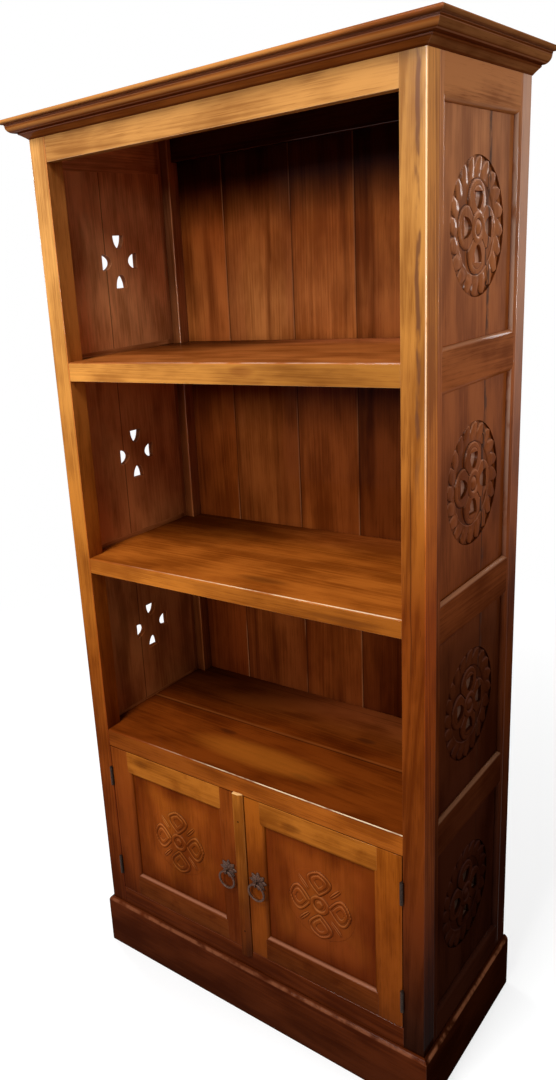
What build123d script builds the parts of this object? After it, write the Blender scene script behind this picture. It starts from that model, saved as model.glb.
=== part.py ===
from build123d import *
import math
import os

# Tall open bookcase of East Asian make: four square posts, framed side panels with a pierced
# and carved medallion, three shelves, a two-door cupboard below, a moulded cornice and a plinth.
# Millimetres, Z up, Y to the rear. Every piece is drawn with the posts' front at Y = 0 and X = 0
# in the middle; save() moves it so that the origin lies under the middle of the whole cabinet.

# ---- overall --------------------------------------------------------------------------------
BODY_WIDTH = 856.0
BODY_DEPTH = 428.0
HEIGHT = 2000.0
POST = 44.0                 # square posts
TOP_THICKNESS = 18.0        # top board, inside the cornice
CORNICE_PROJECTION = 43.0
CORNICE_HEIGHT = 41.0
PLINTH_HEIGHT = 134.0
PLINTH_PROJECTION = 10.0
PLINTH_ROUNDING = 13.0      # height of the rounded upper edge

# ---- cupboard and shelves, lowest first -----------------------------------------------------
CUPBOARD_HEIGHT = 408.0     # clear, from its floor to the shelf above
FLOOR_THICKNESS = 18.0
SHELF_THICKNESSES = [43.5, 36.0, 40.5]
BAY_SHARES = [401.0, 402.5, 400.5]      # how the open bays share the height above the cupboard
SHELF_NOSING = 4.0          # rounded upper front arris
BOARD_SEAM = 200.0          # front edge to the glue line in every shelf
FLUSH_SETBACK = 0.5         # shelves and rails stand this far behind the posts' front

# ---- rails and back -------------------------------------------------------------------------
LOWEST_RAIL = 90.0          # underside of the lowest rails and of the back boards
BOTTOM_RAIL_HEIGHT = 89.0
TOP_RAIL_HEIGHT = 71.0
RAIL_THICKNESS = 24.0
REAR_RAIL_THICKNESS = 20.0
REAR_RAIL_HEIGHT = 60.0
BACK_THICKNESS = 12.0
BACK_JOINTS = [-0.664, -0.195, 0.208, 0.638]    # across the back, as shares of half its width

# ---- framed panels, sides and doors ---------------------------------------------------------
MOULDING = 8.5              # quarter round worked on the frames, and depth of the panels' faces
SIDE_THICKNESS = 20.5
SIDE_FRONT_STILE = 22.0     # from the post to the panel
SIDE_REAR_STILE = 17.0
PANEL_MARGINS = [(19.0, 25.0), (12.5, 31.0), (16.5, 21.0), (16.5, 18.0)]    # over and under the shelves
PANEL_TONGUE = 6.0          # hidden edge of a panel inside its frame
PANEL_THICKNESS = 12.0

# ---- pierced medallions ---------------------------------------------------------------------
MEDALLION_RADIUS = 114.0
MEDALLION_FIELD = 4.0       # sunk ground
LEAF_COUNT = 20
LEAF_ROOT_RADIUS = 79.0
LEAF_SHOULDER_RADIUS = 105.0
LEAF_TIP_RADIUS = 112.5
LEAF_TIP_WIDTH = 13.0
LEAF_GAP = 3.0
PETAL_REACH = 77.0
PETAL_RADIUS = 35.0
PETAL_RISE = 1.2            # over the panel's face
GROOVE = 3.5                # between two petals
SLOT_CHORD_RADIUS = 57.5    # flat outer side of a slot
SLOT_WIDTH = 35.0
SLOT_DEPTH = 29.5
BOSS_RADIUS = 26.5
BOSS_RIM = 10.5             # width of the boss's raised rim
BOSS_RISE = 3.0
BUTTON_RADIUS = 13.0
BUTTON_BEVEL = 2.5
INLAY = 1.0                 # carved parts drawn this far into the wood below them

# ---- doors ----------------------------------------------------------------------------------
DOOR_THICKNESS = 22.0
DOOR_GAP = 2.0              # at the posts, under the shelf and over the lowest rail
MEETING_GAP = 2.0
MEETING_X = 15.0            # middle of the gap between the doors
DOOR_PANEL_THICKNESS = 10.0
DOOR_HINGE_STILE = 61.0     # widths to the panel, moulding included
LEFT_MEETING_STILE = 74.0
RIGHT_MEETING_STILE = 47.0
DOOR_RAIL = 60.0
STOP_SECTION = 15.0
DOOR_SEAT = 0.3             # play between closed doors and their stop

# ---- flower carved on each door panel -------------------------------------------------------
FLOWER_RISE = 2.0
FLOWER_RING = (15.0, 23.0)  # radii
FLOWER_BUTTON = 10.0
FLOWER_PETAL_RADIUS = 21.0
FLOWER_PETAL_CENTRE = 48.0
FLOWER_LEAF = (34.0, 72.0)  # from the centre to its ends
FLOWER_LEAF_WIDTH = 13.0

# ---- cover strip on the left door -----------------------------------------------------------
ASTRAGAL_WIDTH = 23.5
ASTRAGAL_INSET = 0.5        # behind the door's meeting edge
ASTRAGAL_PROUD = 8.5
ASTRAGAL_BEVEL = 9.0        # width of its bevelled right side
ASTRAGAL_EDGE = 2.0         # thickness left at the bevel's foot
ASTRAGAL_ABOVE = 5.5        # laps over the shelf's edge
ASTRAGAL_BELOW = 14.0

# ---- butt hinges ----------------------------------------------------------------------------
HINGE_HEIGHT = 50.0
HINGE_INSETS = (69.0, 80.0)  # hinges' middles from the door's lower and upper edges
KNUCKLES = 3
KNUCKLE_PLAY = 0.25         # between two knuckles
BARREL_RADIUS = 3.5
PIN_RADIUS = 1.7
PIN_PLAY = 0.05
LEAF_THICKNESS = 1.5
LEAF_LETTING = 0.8          # let into the wood
LEAF_WIDTH = 19.0
PIN_FORWARD = 4.0           # pin's middle in front of the doors' face
SWEEP_PLAY = 0.5            # leaf cut back around the other leaf's barrels
PIN_HEAD = 1.2

# ---- ring pulls -----------------------------------------------------------------------------
PULL_INSETS = {"left": 52.0, "right": 26.0}     # from each door's meeting edge
PULL_DROP = 1.0             # below the middle of the door panel
PULL_PETAL_COUNT = 8
PULL_PETAL_RADIUS = 5.5
PULL_RADIUS = 23.0
PULL_PLATE = 1.4            # thickness at the petals' tips
PULL_DOME = 4.0             # and in the middle
EYE_DROP = 3.5              # eye below the rosette's middle
EYE_BORE = 3.2
EYE_WIRE = 1.4
EYE_STANDOFF = 0.1          # eye's loop in front of the rosette
RING_RADIUS = 20.0
RING_WIRE = 2.5
WIRE_SIDES = 8              # rings and eyes are drawn with this many flats round the wire
SHANK_RADIUS = 1.8
SHANK_PLAY = 0.2
WASHER_RADIUS = 5.0
WASHER_THICKNESS = 1.5

# ---- derived --------------------------------------------------------------------------------
HALF = BODY_WIDTH / 2
BAY_HALF = HALF - POST
FRONT_Y = (CORNICE_PROJECTION - BODY_DEPTH) / 2
POST_TOP = HEIGHT - TOP_THICKNESS
TOP_RAIL_BOTTOM = POST_TOP - TOP_RAIL_HEIGHT
CORNICE_BOTTOM = HEIGHT - CORNICE_HEIGHT
CUPBOARD_FLOOR = LOWEST_RAIL + BOTTOM_RAIL_HEIGHT
BACK_FACE = BODY_DEPTH - BACK_THICKNESS
SHELVES = []                # (underside, top), lowest first
underside = CUPBOARD_FLOOR + CUPBOARD_HEIGHT
OPEN_HEIGHT = TOP_RAIL_BOTTOM - underside - sum(SHELF_THICKNESSES)
for thickness, share in zip(SHELF_THICKNESSES, BAY_SHARES):
    SHELVES.append((underside, underside + thickness))
    underside += thickness + OPEN_HEIGHT * share / sum(BAY_SHARES)
FLOORS = [CUPBOARD_FLOOR] + [top for bottom, top in SHELVES]
CEILINGS = [bottom for bottom, top in SHELVES] + [TOP_RAIL_BOTTOM]
SIDE_OPENINGS = [(floor + below, ceiling - above)
                 for floor, ceiling, (below, above) in zip(FLOORS, CEILINGS, PANEL_MARGINS)]
SIDE_EDGES = (POST + SIDE_FRONT_STILE, BODY_DEPTH - POST - SIDE_REAR_STILE)
DOOR_BOTTOM = CUPBOARD_FLOOR + DOOR_GAP
DOOR_TOP = SHELVES[0][0] - DOOR_GAP
DOOR_OPENING = (DOOR_BOTTOM + DOOR_RAIL, DOOR_TOP - DOOR_RAIL)
DOOR_MIDDLE = sum(DOOR_OPENING) / 2
DOOR_OUTER = BAY_HALF - DOOR_GAP
MEETING_EDGES = {"left": MEETING_X - MEETING_GAP / 2, "right": MEETING_X + MEETING_GAP / 2}
PIN_X = BAY_HALF - DOOR_GAP / 2
HINGE_CENTRES = [DOOR_BOTTOM + HINGE_INSETS[0], DOOR_TOP - HINGE_INSETS[1]]
PULL_X = {"left": MEETING_EDGES["left"] - PULL_INSETS["left"],
          "right": MEETING_EDGES["right"] + PULL_INSETS["right"]}
PULL_Z = DOOR_MIDDLE - PULL_DROP
EYE_FORWARD = PULL_DOME + EYE_STANDOFF + 2 * EYE_WIRE + EYE_BORE    # eye's middle from the door

os.makedirs("parts", exist_ok=True)


def save(name, *solids):
    placed = [Pos(0, FRONT_Y, 0) * solid for solid in solids]
    shape = placed[0] if len(placed) == 1 else Compound(children=placed)
    export_step(shape, f"parts/{name}.step")


def block(x, y, z):
    size = [b - a for a, b in (x, y, z)]
    middle = [(a + b) / 2 for a, b in (x, y, z)]
    return Pos(*middle) * Box(*size)


def prism_z(points, bottom, top):
    outline = make_face(Polyline(*points, close=True))
    return Pos(0, 0, bottom) * extrude(outline, top - bottom)


def front_face(sketch, depth):
    """A sketch drawn in X and Z, set `depth` behind the posts' front."""
    return Plane(origin=(0, depth, 0), x_dir=(1, 0, 0), z_dir=(0, -1, 0)) * sketch


def slab(sketch, front, back):
    """Extrude an X-Z outline from `back` forward to `front`."""
    return extrude(front_face(sketch, back), back - front)


def outline_slab(points, front, back):
    return slab(make_face(Polyline(*points, close=True)), front, back)


def mirrored(shape):
    return mirror(shape, about=Plane.YZ)


def as_right_side(shape):
    """Turn a piece drawn facing the front so that it faces +X on the right side."""
    return Pos(HALF, 0, 0) * Rot(0, 0, 90) * shape


# ---- framed panels, drawn facing the front: X across, Z up, depth along Y -------------------

def edge_waste(shoulder, corner):
    """Section cut from a frame's inner arris so that a quarter round is left: (across, depth)."""
    beyond = corner + math.copysign(1, corner - shoulder)
    square = make_face(Polyline((shoulder, -1), (beyond, -1), (beyond, MOULDING), (shoulder, MOULDING),
                                close=True))
    return square - Pos(shoulder, MOULDING) * Circle(MOULDING)


def upright_waste(shoulder, corner, bottom, top):
    return Pos(0, 0, bottom) * extrude(edge_waste(shoulder, corner), top - bottom)


def level_waste(shoulder, corner, left, right):
    """The same waste along X, with shoulder and corner as heights."""
    end = Plane(origin=(right, 0, 0), x_dir=(0, 0, 1), z_dir=(-1, 0, 0))
    return extrude(end * edge_waste(shoulder, corner), right - left)


def stile(outer, edge, openings, bottom, top, thickness):
    """Upright of a frame, its moulded edge mitred where the rails' mouldings meet it."""
    shoulder = edge - MOULDING if edge > outer else edge + MOULDING
    points = [(outer, bottom), (shoulder, bottom)]
    for low, high in openings:
        points += [(shoulder, low - MOULDING), (edge, low), (edge, high), (shoulder, high + MOULDING)]
    points += [(shoulder, top), (outer, top)]
    body = outline_slab(points, 0, thickness)
    return body - upright_waste(shoulder, edge, bottom - 1, top + 1)


def rail(edges, bottom, top, thickness, moulded_bottom, moulded_top):
    """Cross piece of a frame; its ends are mitred over the moulding and square between."""
    left, right = edges[0] - MOULDING, edges[1] + MOULDING
    if moulded_bottom:
        points = [(left, bottom + MOULDING), (edges[0], bottom), (edges[1], bottom),
                  (right, bottom + MOULDING)]
    else:
        points = [(left, bottom), (right, bottom)]
    if moulded_top:
        points += [(right, top - MOULDING), (edges[1], top), (edges[0], top), (left, top - MOULDING)]
    else:
        points += [(right, top), (left, top)]
    body = outline_slab(points, 0, thickness)
    if moulded_bottom:
        body -= level_waste(bottom + MOULDING, bottom, left - 1, right + 1)
    if moulded_top:
        body -= level_waste(top - MOULDING, top, left - 1, right + 1)
    return body


def panel_space(edges, opening, depth):
    """The space of a panel in its frame, grooves included, over a range of depth."""
    across = (edges[0] - PANEL_TONGUE, edges[1] + PANEL_TONGUE)
    height = (opening[0] - PANEL_TONGUE, opening[1] + PANEL_TONGUE)
    return block(across, depth, height)


# ---- carved work ----------------------------------------------------------------------------

def around(count, shape, start=0.0):
    """Copies of an outline, turned about the carving's centre."""
    return [Rot(0, 0, start + 360 * i / count) * shape for i in range(count)]


def medallion_slot():
    """Outline of the opening above the centre: flat outside, half an oval toward the centre."""
    oval = Ellipse(SLOT_WIDTH / 2, SLOT_DEPTH) & Pos(0, -SLOT_DEPTH) * Rectangle(
        2 * SLOT_WIDTH, 2 * SLOT_DEPTH)
    return Pos(0, SLOT_CHORD_RADIUS) * oval


def medallion_leaf():
    """Outline of one leaf of the outer wreath, with a blunt tip between two shoulders."""
    half_angle = math.pi / LEAF_COUNT
    root = LEAF_ROOT_RADIUS * math.tan(half_angle) - LEAF_GAP / 2
    shoulder = LEAF_SHOULDER_RADIUS * math.tan(half_angle) - LEAF_GAP / 2
    tip = LEAF_TIP_WIDTH / 2
    points = [(-root, LEAF_ROOT_RADIUS), (root, LEAF_ROOT_RADIUS), (shoulder, LEAF_SHOULDER_RADIUS),
              (tip, LEAF_TIP_RADIUS), (-tip, LEAF_TIP_RADIUS), (-shoulder, LEAF_SHOULDER_RADIUS)]
    return make_face(Polyline(*points, close=True))


def medallion(panel, face, back):
    """Carve and pierce a panel drawn facing the front, its medallion about X = 0, Z = 0."""
    ground = face + MEDALLION_FIELD
    panel -= slab(Circle(MEDALLION_RADIUS), face - 1, ground)
    panel += [slab(leaf, face, ground + INLAY) for leaf in around(LEAF_COUNT, medallion_leaf())]

    petal = Pos(0, PETAL_REACH - PETAL_RADIUS) * Circle(PETAL_RADIUS)
    groove = Pos(0, PETAL_REACH / 2) * Rectangle(GROOVE, PETAL_REACH)
    flower = Sketch() + around(4, petal) - around(4, groove, 45)
    panel += slab(flower, face - PETAL_RISE, ground + INLAY)

    proud = face - BOSS_RISE
    panel += slab(Circle(BOSS_RADIUS), proud, ground + INLAY)
    panel -= slab(Circle(BOSS_RADIUS - BOSS_RIM + BUTTON_BEVEL / 2), proud - 1, face + INLAY)
    button = slab(Circle(BUTTON_RADIUS), proud - INLAY, face + INLAY)
    panel += chamfer(button.faces().sort_by(Axis.Y)[0].edges(), BUTTON_BEVEL)
    panel -= [slab(slot, proud - 1, back + 1) for slot in around(4, medallion_slot())]
    return panel


def door_flower(face):
    """Low flower of a door panel: ringed button, four petals and four leaves between them."""
    petal = Pos(0, FLOWER_PETAL_CENTRE) * Circle(FLOWER_PETAL_RADIUS)
    start, end = FLOWER_LEAF
    leaf = make_face(Polyline((0, start), (FLOWER_LEAF_WIDTH / 2, (start + end) / 2), (0, end),
                              (-FLOWER_LEAF_WIDTH / 2, (start + end) / 2), close=True))
    ring = Circle(FLOWER_RING[1]) - Circle(FLOWER_RING[0])
    outlines = around(4, petal) + [ring, Circle(FLOWER_BUTTON)]
    reliefs = [slab(outline, face - FLOWER_RISE, face + INLAY) for outline in outlines]
    low = face - FLOWER_RISE / 2
    return reliefs + [slab(outline, low, face + INLAY) for outline in around(4, leaf, 45)]


# ---- sides ----------------------------------------------------------------------------------

def side_pieces():
    """Right side, drawn facing the front: stiles, rails and panels, lowest first."""
    back = MOULDING + PANEL_THICKNESS
    spaces = [panel_space(SIDE_EDGES, opening, (MOULDING, back)) for opening in SIDE_OPENINGS]
    stiles = [
        stile(POST, SIDE_EDGES[0], SIDE_OPENINGS, LOWEST_RAIL, POST_TOP, SIDE_THICKNESS),
        stile(BODY_DEPTH - POST, SIDE_EDGES[1], SIDE_OPENINGS, LOWEST_RAIL, POST_TOP, SIDE_THICKNESS),
    ]
    levels = [LOWEST_RAIL] + [z for opening in SIDE_OPENINGS for z in opening] + [POST_TOP]
    rails = []
    for i in range(0, len(levels), 2):
        rails.append(rail(SIDE_EDGES, levels[i], levels[i + 1], SIDE_THICKNESS,
                          moulded_bottom=i > 0, moulded_top=i < len(levels) - 2))
    stiles = [piece - spaces for piece in stiles]
    rails = [piece - spaces for piece in rails]

    middle = sum(SIDE_EDGES) / 2
    reach = max(high - low for low, high in SIDE_OPENINGS) + SIDE_EDGES[1] - SIDE_EDGES[0]
    carved = medallion(block((-reach, reach), (MOULDING, back), (-reach, reach)), MOULDING, back)
    panels = [Pos(middle, 0, sum(opening) / 2) * carved & panel_space(SIDE_EDGES, opening, (0, back + 1))
              for opening in SIDE_OPENINGS]
    return stiles, rails, panels


def make_sides():
    stiles, rails, panels = side_pieces()
    for side, turn in (("right", lambda s: s), ("left", mirrored)):
        save(f"{side}_side_stiles", *[turn(as_right_side(piece)) for piece in stiles])
        save(f"{side}_side_rails", *[turn(as_right_side(piece)) for piece in rails])
        for number, panel in enumerate(reversed(panels), start=1):
            save(f"{side}_panel_{number}", turn(as_right_side(panel)))


# ---- carcass --------------------------------------------------------------------------------

def hinge_letting(side):
    """Shallow beds for the hinge leaves: in the post (outward) and in the door (inward)."""
    frame_beds, door_beds = [], []
    for z in HINGE_CENTRES:
        height = (z - HINGE_HEIGHT / 2, z + HINGE_HEIGHT / 2)
        depth = (-1.0, LEAF_WIDTH)
        frame_beds.append(block((BAY_HALF, BAY_HALF + LEAF_LETTING), depth, height))
        door_beds.append(block((DOOR_OUTER - LEAF_LETTING, DOOR_OUTER), depth, height))
    if side == "left":
        return [mirrored(b) for b in frame_beds], [mirrored(b) for b in door_beds]
    return frame_beds, door_beds


def make_posts():
    front = block((BAY_HALF, HALF), (0, POST), (0, POST_TOP))
    rear = block((BAY_HALF, HALF), (BODY_DEPTH - POST, BODY_DEPTH), (0, POST_TOP))
    save("front_right_post", front - hinge_letting("right")[0])
    save("front_left_post", mirrored(front) - hinge_letting("left")[0])
    save("rear_right_post", rear)
    save("rear_left_post", mirrored(rear))


def make_rails():
    across = (-BAY_HALF, BAY_HALF)
    depth = (FLUSH_SETBACK, FLUSH_SETBACK + RAIL_THICKNESS)
    save("front_top_rail", block(across, depth, (TOP_RAIL_BOTTOM, POST_TOP)))
    save("front_bottom_rail", block(across, depth, (LOWEST_RAIL, CUPBOARD_FLOOR)))
    rear = (BACK_FACE - REAR_RAIL_THICKNESS, BACK_FACE)
    save("rear_top_rail", block(across, rear, (POST_TOP - REAR_RAIL_HEIGHT, POST_TOP)))
    save("rear_bottom_rail", block(across, rear, (LOWEST_RAIL, LOWEST_RAIL + REAR_RAIL_HEIGHT)))


def board_plan(front):
    """Plan of a shelf between the posts, its ends housed against the side frames."""
    inner, end = BAY_HALF, HALF - SIDE_THICKNESS
    rear_post = BODY_DEPTH - POST
    right = [(inner, front), (inner, POST), (end, POST), (end, rear_post), (inner, rear_post),
             (inner, BACK_FACE)]
    left = [(-x, y) for x, y in reversed(right)]
    return right + left


def shelf_boards(front, bottom, top, nosing):
    """Two boards glued edge to edge; the front one carries the rounded nosing."""
    whole = prism_z(board_plan(front), bottom, top)
    ahead = block((-HALF, HALF), (front - 1, BOARD_SEAM), (bottom - 1, top + 1))
    front_board = whole & ahead
    rear_board = whole - ahead
    if nosing:
        arris = front_board.edges().filter_by(Axis.X).sort_by(lambda e: e.center().Z - e.center().Y)[-1]
        front_board = fillet(arris, nosing)
    return front_board, rear_board


def make_shelves():
    for number, (bottom, top) in enumerate(reversed(SHELVES), start=1):
        save(f"shelf_{number}", *shelf_boards(FLUSH_SETBACK, bottom, top, SHELF_NOSING))
    behind_rail = FLUSH_SETBACK + RAIL_THICKNESS
    save("cupboard_floor",
         *shelf_boards(behind_rail, CUPBOARD_FLOOR - FLOOR_THICKNESS, CUPBOARD_FLOOR, 0))


def make_back():
    edges = [-BAY_HALF] + [share * BAY_HALF for share in BACK_JOINTS] + [BAY_HALF]
    boards = [block((a, b), (BACK_FACE, BODY_DEPTH), (LOWEST_RAIL, POST_TOP))
              for a, b in zip(edges, edges[1:])]
    save("back_boards", *boards)


def make_top():
    save("top_board", block((-HALF, HALF), (0, BODY_DEPTH), (POST_TOP, HEIGHT)))


def mitred_run(name, profile, projection):
    """Front and side strips of one section, mitred at the front corners.

    `profile` is a face in (distance out from the body, height)."""
    reach, tail = projection + 5, POST
    section = Plane(origin=(-HALF - reach, 0, 0), x_dir=(0, -1, 0), z_dir=(-1, 0, 0)) * profile
    front = extrude(section, -(BODY_WIDTH + 2 * reach))
    front_plan = [(-HALF + tail, tail), (-HALF - reach, -reach),
                  (HALF + reach, -reach), (HALF - tail, tail)]
    save(f"{name}_front", front & prism_z(front_plan, 0, HEIGHT))
    section = Plane(origin=(HALF, BODY_DEPTH, 0), x_dir=(1, 0, 0), z_dir=(0, -1, 0)) * profile
    side = extrude(section, BODY_DEPTH + reach)
    side_plan = [(HALF - tail, tail), (HALF + reach, -reach), (HALF + reach, BODY_DEPTH + 1),
                 (HALF - tail, BODY_DEPTH + 1)]
    right = side & prism_z(side_plan, 0, HEIGHT)
    save(f"{name}_right", right)
    save(f"{name}_left", mirrored(right))


def make_cornice():
    """Section: cavetto at the foot, step, large ovolo, fillet and half-round lip."""
    def at(out, up):
        """A point of the section as shares of its projection and height."""
        return out * CORNICE_PROJECTION, CORNICE_BOTTOM + up * CORNICE_HEIGHT

    profile = make_face([
        ThreePointArc(at(0, 0), at(0.20, 0.17), at(0.36, 0.28)),
        Polyline(at(0.36, 0.28), at(0.36, 0.34), at(0.43, 0.34)),
        ThreePointArc(at(0.43, 0.34), at(0.66, 0.43), at(0.77, 0.66)),
        Polyline(at(0.77, 0.66), at(0.77, 0.71), at(0.79, 0.71), at(0.79, 0.78), at(0.895, 0.78)),
        ThreePointArc(at(0.895, 0.78), at(1, 0.89), at(0.895, 1)),
        Polyline(at(0.895, 1), at(0, 1), at(0, 0)),
    ])
    mitred_run("cornice", profile, CORNICE_PROJECTION)


def make_plinth():
    out, shoulder = PLINTH_PROJECTION, PLINTH_HEIGHT - PLINTH_ROUNDING
    crown = (0.72 * out, shoulder + 0.63 * PLINTH_ROUNDING)
    profile = make_face([
        Polyline((0, PLINTH_HEIGHT), (0, 0), (out, 0), (out, shoulder)),
        ThreePointArc((out, shoulder), crown, (0, PLINTH_HEIGHT)),
    ])
    mitred_run("plinth", profile, out)


def make_door_stop():
    front = DOOR_THICKNESS + DOOR_SEAT
    height = (SHELVES[0][0] - STOP_SECTION, SHELVES[0][0])
    save("door_stop", block((-BAY_HALF, BAY_HALF), (front, front + STOP_SECTION), height))


# ---- doors ----------------------------------------------------------------------------------

def make_door(side):
    """One framed door, closed: stiles the full height, rails between them, a carved panel."""
    sign = -1 if side == "left" else 1
    meeting = MEETING_EDGES[side]
    meeting_stile = LEFT_MEETING_STILE if side == "left" else RIGHT_MEETING_STILE
    hinge_edge = sign * (DOOR_OUTER - DOOR_HINGE_STILE)
    meeting_edge = meeting + sign * meeting_stile
    edges = tuple(sorted((hinge_edge, meeting_edge)))
    blank = panel_space(edges, DOOR_OPENING, (MOULDING, MOULDING + DOOR_PANEL_THICKNESS))
    pieces = {
        "hinge_stile": stile(sign * DOOR_OUTER, hinge_edge, [DOOR_OPENING], DOOR_BOTTOM, DOOR_TOP,
                             DOOR_THICKNESS),
        "meeting_stile": stile(meeting, meeting_edge, [DOOR_OPENING], DOOR_BOTTOM, DOOR_TOP,
                               DOOR_THICKNESS),
        "top_rail": rail(edges, DOOR_OPENING[1], DOOR_TOP, DOOR_THICKNESS, True, False),
        "bottom_rail": rail(edges, DOOR_BOTTOM, DOOR_OPENING[0], DOOR_THICKNESS, False, True),
    }
    pieces = {name: piece - blank for name, piece in pieces.items()}
    pieces["hinge_stile"] -= hinge_letting(side)[1]
    bore = Pos(PULL_X[side], DOOR_THICKNESS / 2, PULL_Z - EYE_DROP) * Rot(90, 0, 0) * Cylinder(
        SHANK_RADIUS + SHANK_PLAY, DOOR_THICKNESS + 2)
    pieces["meeting_stile"] -= bore
    centre = Pos(sum(edges) / 2, 0, DOOR_MIDDLE)
    pieces["panel"] = blank + [centre * relief for relief in door_flower(MOULDING)]
    for name, piece in pieces.items():
        save(f"{side}_door_{name}", piece)


def make_astragal():
    right = MEETING_EDGES["left"] - ASTRAGAL_INSET
    left = right - ASTRAGAL_WIDTH
    plan = [(left, 0), (left, -ASTRAGAL_PROUD), (right - ASTRAGAL_BEVEL, -ASTRAGAL_PROUD),
            (right, -ASTRAGAL_EDGE), (right, 0)]
    save("astragal", prism_z(plan, DOOR_BOTTOM - ASTRAGAL_BELOW, DOOR_TOP + ASTRAGAL_ABOVE))


def hinge_leaf(z, of_door):
    """Right-hand leaf with its knuckles; the frame leaf has the end knuckles."""
    pitch = HINGE_HEIGHT / KNUCKLES
    bottom = z - HINGE_HEIGHT / 2
    if of_door:
        bed = DOOR_OUTER - LEAF_LETTING
        across = (bed, bed + LEAF_THICKNESS)
    else:
        bed = BAY_HALF + LEAF_LETTING
        across = (bed - LEAF_THICKNESS, bed)
    leaf = block(across, (-PIN_FORWARD, LEAF_WIDTH), (bottom, bottom + HINGE_HEIGHT))
    for i in range(KNUCKLES):
        middle = Pos(PIN_X, -PIN_FORWARD, bottom + pitch * (i + 0.5))
        mine = (i % 2 == 1) == of_door
        if mine:
            leaf += middle * Cylinder(BARREL_RADIUS, pitch - KNUCKLE_PLAY)
        else:
            leaf -= middle * Cylinder(BARREL_RADIUS + SWEEP_PLAY, pitch + KNUCKLE_PLAY)
    bore = Pos(PIN_X, -PIN_FORWARD, z) * Cylinder(PIN_RADIUS + PIN_PLAY, HINGE_HEIGHT + 2)
    return leaf - bore


def hinge_pin(z):
    head = Pos(PIN_X, -PIN_FORWARD, z + HINGE_HEIGHT / 2) * Cylinder(
        (BARREL_RADIUS + PIN_RADIUS) / 2, PIN_HEAD, align=(Align.CENTER, Align.CENTER, Align.MIN))
    rod = Pos(PIN_X, -PIN_FORWARD, z) * Cylinder(PIN_RADIUS, HINGE_HEIGHT)
    return rod + head


def make_hinges():
    frame_leaves = [hinge_leaf(z, of_door=False) for z in HINGE_CENTRES]
    door_leaves = [hinge_leaf(z, of_door=True) for z in HINGE_CENTRES]
    pins = [hinge_pin(z) for z in HINGE_CENTRES]
    save("right_hinge_frame_leaves", *frame_leaves)
    save("right_hinge_door_leaves", *door_leaves)
    save("left_hinge_frame_leaves", *[mirrored(leaf) for leaf in frame_leaves])
    save("left_hinge_door_leaves", *[mirrored(leaf) for leaf in door_leaves])
    save("hinge_pins", *pins, *[mirrored(pin) for pin in pins])


# ---- ring pulls -----------------------------------------------------------------------------

def wire_ring(middle_radius, wire_radius):
    """A closed ring of wire about the Z axis."""
    section = Plane.XZ * Pos(middle_radius, 0) * RegularPolygon(wire_radius, WIRE_SIDES)
    return revolve(section, Axis.Z)


def across_door(radius, front, back):
    """A round bar through the door's thickness, from `front` to `back`, about X = 0, Z = 0."""
    return Pos(0, (front + back) / 2, 0) * Rot(90, 0, 0) * Cylinder(radius, back - front)


def make_pull(side):
    """Flower plate on the door, an eye through it, and the ring that swings in the eye."""
    x = PULL_X[side]
    eye_z = PULL_Z - EYE_DROP
    tip = PULL_RADIUS - PULL_PETAL_RADIUS
    petal = Pos(0, tip) * Circle(PULL_PETAL_RADIUS) + Pos(0, tip / 2) * Rectangle(
        2 * PULL_PETAL_RADIUS, tip)
    flower = Sketch() + around(PULL_PETAL_COUNT, petal)
    sag = PULL_DOME - PULL_PLATE
    sphere_radius = (PULL_RADIUS ** 2 + sag ** 2) / (2 * sag)
    plate = slab(flower, -PULL_DOME, 0) & Pos(0, sphere_radius - PULL_DOME, 0) * Sphere(sphere_radius)
    bore = Pos(0, 0, -EYE_DROP) * across_door(SHANK_RADIUS + SHANK_PLAY, -2 * PULL_DOME, 2 * PULL_DOME)
    save(f"{side}_pull_rosette", Pos(x, 0, PULL_Z) * (plate - bore))

    loop = Pos(0, -EYE_FORWARD, 0) * Rot(0, 90, 0) * wire_ring(EYE_BORE + EYE_WIRE, EYE_WIRE)
    shank_start = EYE_BORE + EYE_WIRE - EYE_FORWARD
    washer_end = DOOR_THICKNESS + WASHER_THICKNESS
    shank = across_door(SHANK_RADIUS, shank_start, washer_end + SHANK_RADIUS)
    washer = across_door(WASHER_RADIUS, DOOR_THICKNESS, washer_end)
    save(f"{side}_pull_staple", Pos(x, 0, eye_z) * (loop + shank + washer))

    ring = Rot(90, 0, 0) * wire_ring(RING_RADIUS, RING_WIRE)
    save(f"{side}_pull_ring", Pos(x, -EYE_FORWARD, eye_z - RING_RADIUS) * ring)


make_posts()
make_rails()
make_sides()
make_shelves()
make_back()
make_top()
make_cornice()
make_plinth()
make_door_stop()
make_door("left")
make_door("right")
make_astragal()
make_hinges()
make_pull("left")
make_pull("right")
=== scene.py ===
import math

import bmesh
import bpy
from mathutils import Matrix, Vector


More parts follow.
